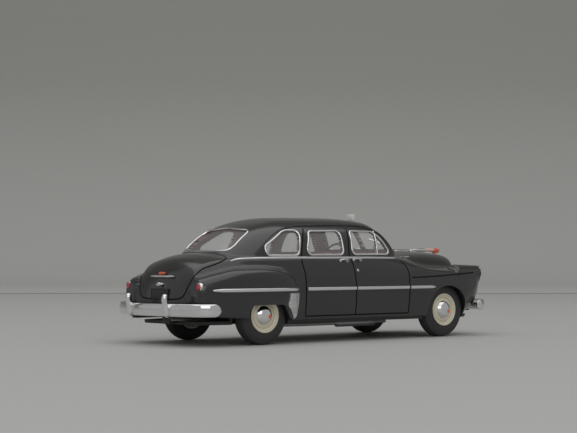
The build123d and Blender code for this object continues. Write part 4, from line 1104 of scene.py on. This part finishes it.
def both_ends(part, half_track, y):
    return join(moved(part, (half_track, y, AXLE_Z)), moved(part, (-half_track, y, AXLE_Z), FLIP))


for name, y, half_track in (
        ("front", FRONT_AXLE_Y, FRONT_HALF_TRACK), ("rear", REAR_AXLE_Y, REAR_HALF_TRACK)):
    body = f"{name}_wheelset"
    add_piece(f"{name}_tyre_pair", both_ends(tyre_part(), half_track, y), "tyre", body, [f"{name}_tyres"], 30)
    add_piece(f"{name}_rim_pair", both_ends(lathe(RIM_PROFILE, 96), half_track, y), "rim_cream", body,
              [f"{name}_rims"], 40)
    add_piece(f"{name}_cap_pair", both_ends(lathe(CAP_PROFILE, 72), half_track, y), "chrome", body,
              [f"{name}_hubcaps"], 40)
    turn = MARK_TURN[name]
    spot = moved(lathe(MARK, 20), (-0.02, MARK_RADIUS * math.cos(turn), -MARK_RADIUS * math.sin(turn)))
    add_piece(f"{name}_cap_marks", both_ends(spot, half_track, y), "crest_red", body)

# Interior: benches with sewn-look flutes, dashboard and steering wheel


def fluted_bench(half, seat, back, lean, flutes):
    """Seat and back cushions as one moulding: seat (y0, y1, z0, z1), back (y, thickness, z0, z1)."""
    parts = []
    count = 8 * flutes + 1
    for kind, (a0, a1, z0, z1) in (("seat", seat), ("back", back)):
        rings, xs = [], np.linspace(-half, half, count)
        for x in xs:
            flute = 0.22 * abs(math.sin(math.pi * flutes * (x + half) / (2 * half))) ** 0.6
            edge = min(1.0, (half - abs(x)) / 1.2)
            puff = flute + 0.6 * math.sqrt(max(edge * (2 - edge), 0)) - 0.6
            if kind == "seat":
                ring = [(a0, z0), (a1, z0), (a1 + puff, z1 - 1.0), (a1 - 1.0, z1 + puff), (a0 + 1.2, z1 + puff),
                        (a0 - puff, z1 - 1.2)]
            else:
                rear, head = a0 + a1, a0 + lean
                ring = [(a0, z0), (rear, z0), (rear + lean, z1 - 0.9), (rear + lean - 0.8, z1 + puff),
                        (head + 0.8, z1 + puff), (head - puff, z1 - 1.1),
                        (a0 + 0.5 * lean - puff, (z0 + z1) / 2)]
            rings.append([(x, u, v) for u, v in ring])
        parts.append(([p for ring in rings for p in ring], ring_faces(count, len(rings[0]))))
    return join(*parts)


for name, size, replaced in (
        ("front_bench", (15.0, (-8.0, 1.2, 9.2, 15.6), (0.8, 3.0, 12.0, 26.9), 1.9, 9), ["front_seat"]),
        ("rear_bench", (12.6, (25.2, 33.8, 18.2, 20.4), (31.0, 3.0, 19.0, 26.5), 1.6, 9), [])):
    bench = add_piece(name, fluted_bench(*size), "seat_red", replaces=replaced, crease=60)
    step = bench.modifiers.new("soft", "SUBSURF")
    step.levels = step.render_levels = 1

DASH_OUTLINE = ((-20.9, 17.4, 0.1), (-19.6, 17.6, 0.4), (-17.9, 20.6, 0.8), (-17.7, 24.2, 0.9),
                (-18.6, 26.8, 0.8), (-20.9, 27.1, 0.3))
DASH_HALF = 13.6
DIAL = ((0, 0), (0, 1.6), (0.4, 1.6), (0.4, 1.35), (0.2, 1.3), (0.2, 0))
ALONG_Y = [[0, 1, 0], [1, 0, 0], [0, 0, 1]]
add_piece("dash_panel", join(
    prism(rounded(DASH_OUTLINE, 0.4), 0, -DASH_HALF, DASH_HALF),
    moved(lathe(DIAL, 32), (6.6, -17.8, 23.6), ALONG_Y),
    rounded_box((-9.5, -18.0, 22.0), (-4.0, -17.4, 25.0), 0.3)), "dash_red", replaces=["dashboard"])

COLUMN_TOP = np.array((6.6, -15.2, 26.3))
COLUMN_AXIS = np.array((0.0, 0.83, 0.56))
WHEEL_R = 3.9
# The column: distance along its axis from the wheel's plane, and thickness
COLUMN_STEPS = ((-5.2, 1), (-0.9, 1), (-0.6, 1.9), (0.1, 1.8), (0.3, 0.5))


def steering_wheel():
    """The rim, three spokes and the column with its boss."""
    side = np.array((1.0, 0, 0))
    up = np.cross(side, COLUMN_AXIS)

    def at(radius, turn):
        return COLUMN_TOP + radius * (math.cos(turn) * side + math.sin(turn) * up)

    rim = [at(WHEEL_R, t) for t in np.linspace(0, 2 * math.pi, 56, endpoint=False)]
    hub = COLUMN_TOP - 0.4 * COLUMN_AXIS
    spokes = [tube(np.linspace(hub, at(WHEEL_R - 0.15, t), 6), circle(0.2, 8), COLUMN_AXIS)
              for t in np.radians((-5, 185, 270))]
    column_line = [COLUMN_TOP + along * COLUMN_AXIS for along, _ in COLUMN_STEPS]
    column = tube(column_line, circle(0.42, 14), (1, 0, 0), scale=[thick for _, thick in COLUMN_STEPS])
    return join(tube(rim, circle(0.3, 10), COLUMN_AXIS, closed=True), *spokes, column)


add_piece("wheel_and_column", steering_wheel(), "dash_red", replaces=["steering_wheel"])

# Underside fittings that show below the sills

BRACKET_Y = 56.0
add_piece("rear_bracket", join(rounded_box((-4.0, 53.0, 6.6), (-1.2, BRACKET_Y, 7.6), 0.2),
                               rounded_box((-4.4, BRACKET_Y - 1.0, 6.2), (-0.8, BRACKET_Y + 1.4, 8.3), 0.35)),
          "chassis_black")

EXHAUST_RUN = (
    (-6.6, -26.0, 5.0), (-6.6, -12.0, 4.9), (-6.6, 16.0, 4.9), (-6.8, 26.0, 5.6), (-6.8, 31.0, 6.6),
    (-6.8, 40.0, 6.7), (-6.9, 48.0, 6.9), (-7.0, 53.0, 7.6), (-7.0, 58.2, 7.9),
)
SILENCER_PLACE = (-6.6, -13.0, 4.9)
SILENCER_HALF = ((7.4, 1.25), (7.9, 1.15), (8.5, 0.6), (8.5, 0))
silencer = [(-along, radius) for along, radius in reversed(SILENCER_HALF)] + list(SILENCER_HALF)
add_piece("exhaust_run", join(tube(smooth_line(EXHAUST_RUN, 0.8), circle(0.55, 16), (0, 0, 1)),
                              moved(lathe(silencer, 32), SILENCER_PLACE, ALONG_Y)),
          "exhaust_silver", replaces=["exhaust_pipe"])

# Pieces of the frame that keep their own shape
for node, finish in (
        ("chassis_plate", "chassis_black"), ("front_suspension", "chassis_black"),
        ("rear_axle_housing", "chassis_black"), ("interior_tub", "trim_beige"), ("rear_seat", "seat_red"),
        ("front_axle", "steel"), ("rear_axle", "steel")):
    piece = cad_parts[node]
    piece.data.materials.clear()
    piece.data.materials.append(FINISHES[finish])

# Table, backdrop, lamps and camera


def stage_grey_painted_falloff(name, near, far, start, stop, axis):
    """Matt studio grey with a painted falloff of light: it shifts from a lighter near tone to a darker far tone
    along an axis of the stage.
    """
    material = bpy.data.materials.new(name)
    material.use_nodes = True
    nodes, links = material.node_tree.nodes, material.node_tree.links
    shader = nodes["Principled BSDF"]
    place = nodes.new("ShaderNodeTexCoord")
    split = nodes.new("ShaderNodeSeparateXYZ")
    links.new(place.outputs["Object"], split.inputs["Vector"])
    ramp = nodes.new("ShaderNodeMapRange")
    ramp.inputs["From Min"].default_value = start
    ramp.inputs["From Max"].default_value = stop
    links.new(split.outputs[axis], ramp.inputs["Value"])
    tint = nodes.new("ShaderNodeMix")
    tint.data_type = "RGBA"
    tint.inputs["A"].default_value = (*near, 1)
    tint.inputs["B"].default_value = (*far, 1)
    links.new(ramp.outputs["Result"], tint.inputs["Factor"])
    links.new(tint.outputs["Result"], shader.inputs["Base Color"])
    shader.inputs["Roughness"].default_value = 0.62
    shader.inputs["Specular IOR Level"].default_value = 0.25
    return material


def make_stage(name, part, finish):
    mesh = make_mesh(name, part)
    surface = bpy.data.objects.new(name, mesh)
    bpy.context.scene.collection.objects.link(surface)
    mesh.materials.append(finish)
    return surface


VIEW_YAW = math.radians(229.7693)
VIEW_PITCH = math.radians(-1.3202)
VIEW_RANGE = 494.9858
VIEW_TARGET = Vector((0, 8.7343, 37.9435))
FOCAL_PX = 1600.0
IMAGE_WIDTH = 577
SENSOR = 36.0
level_run = math.cos(VIEW_PITCH)
back = Vector((math.sin(VIEW_YAW) * level_run, -math.cos(VIEW_YAW) * level_run, math.sin(VIEW_PITCH)))
right = Vector((math.cos(VIEW_YAW), math.sin(VIEW_YAW), 0))
up = back.cross(right)

STAGE_HALF = 2600.0
floor_points = [(x * STAGE_HALF, y * STAGE_HALF, 0) for x, y in ((-1, -1), (1, -1), (1, 1), (-1, 1))]
# Painted falloff: the floor darkens slightly towards +X, away from the camera.
floor = make_stage("floor", (floor_points, [(0, 1, 2, 3)]),
                   stage_grey_painted_falloff("floor_grey_painted_falloff", (0.52, 0.52, 0.51), (0.50, 0.50, 0.49), -1, 1, "X"))

# The backdrop: distance beyond its front edge and height, flat, then swept up
BACKDROP_FROM = 560.0
BACKDROP_FLAT, BACKDROP_SWEEP, BACKDROP_TOP = 300, 260, 2200
BACKDROP_LIFT = 0.2
wall_line = [(0, 0), (BACKDROP_FLAT, 0)]
for a in np.linspace(0.08, math.pi / 2, 16):
    wall_line.append((BACKDROP_FLAT + BACKDROP_SWEEP * math.sin(a), BACKDROP_SWEEP * (1 - math.cos(a))))
wall_line.append((BACKDROP_FLAT + BACKDROP_SWEEP, BACKDROP_TOP))
wall_points = []
for offset in (-STAGE_HALF, STAGE_HALF):
    for depth, height in wall_line:
        spot = -back.xy.normalized() * (BACKDROP_FROM + depth) + right.xy * offset
        wall_points.append((spot.x, spot.y, height + BACKDROP_LIFT))
count = len(wall_line)
wall_faces = [(i, i + 1, count + i + 1, count + i) for i in range(count - 1)]
# Painted shade: the backdrop darkens towards its top, standing in for less light reaching the upright wall.
backdrop = make_stage("backdrop", (wall_points, wall_faces),
                      stage_grey_painted_falloff("backdrop_grey_painted_shade", (0.56, 0.565, 0.55), (0.40, 0.40, 0.385), 0.0, 0.2, "Z"))
backdrop.data.shade_smooth()


def soft_lamp(name, place, width, height, power, aim=(0, 0, 18)):
    data = bpy.data.lights.new(name, "AREA")
    data.shape = "RECTANGLE"
    data.size, data.size_y = width * MM, height * MM
    data.energy = power
    lamp = bpy.data.objects.new(name, data)
    bpy.context.scene.collection.objects.link(lamp)
    lamp.location = Vector(place) * MM
    lamp.rotation_euler = (Vector(aim) * MM - lamp.location).to_track_quat("-Z", "Y").to_euler()


soft_lamp("top_softbox", (-60, 60, 900), 1500, 1300, 4.6)
soft_lamp("rear_right_softbox", (-700, 500, 420), 800, 500, 1.3)

world = bpy.data.worlds.new("studio")
bpy.context.scene.world = world
world.use_nodes = True
world.node_tree.nodes["Background"].inputs["Color"].default_value = (0.60, 0.60, 0.59, 1)
world.node_tree.nodes["Background"].inputs["Strength"].default_value = 0.62

camera_data = bpy.data.cameras.new("camera")
camera_data.sensor_width = SENSOR
camera_data.lens = FOCAL_PX / IMAGE_WIDTH * SENSOR
camera_data.clip_start = 0.02
camera_data.clip_end = 20
camera = bpy.data.objects.new("camera", camera_data)
bpy.context.scene.collection.objects.link(camera)
turn = Matrix((right, up, back)).transposed().to_4x4()
camera.matrix_world = Matrix.Translation((VIEW_TARGET + back * VIEW_RANGE) * MM) @ turn
bpy.context.scene.camera = camera
bpy.context.scene.view_settings.view_transform = "Standard"
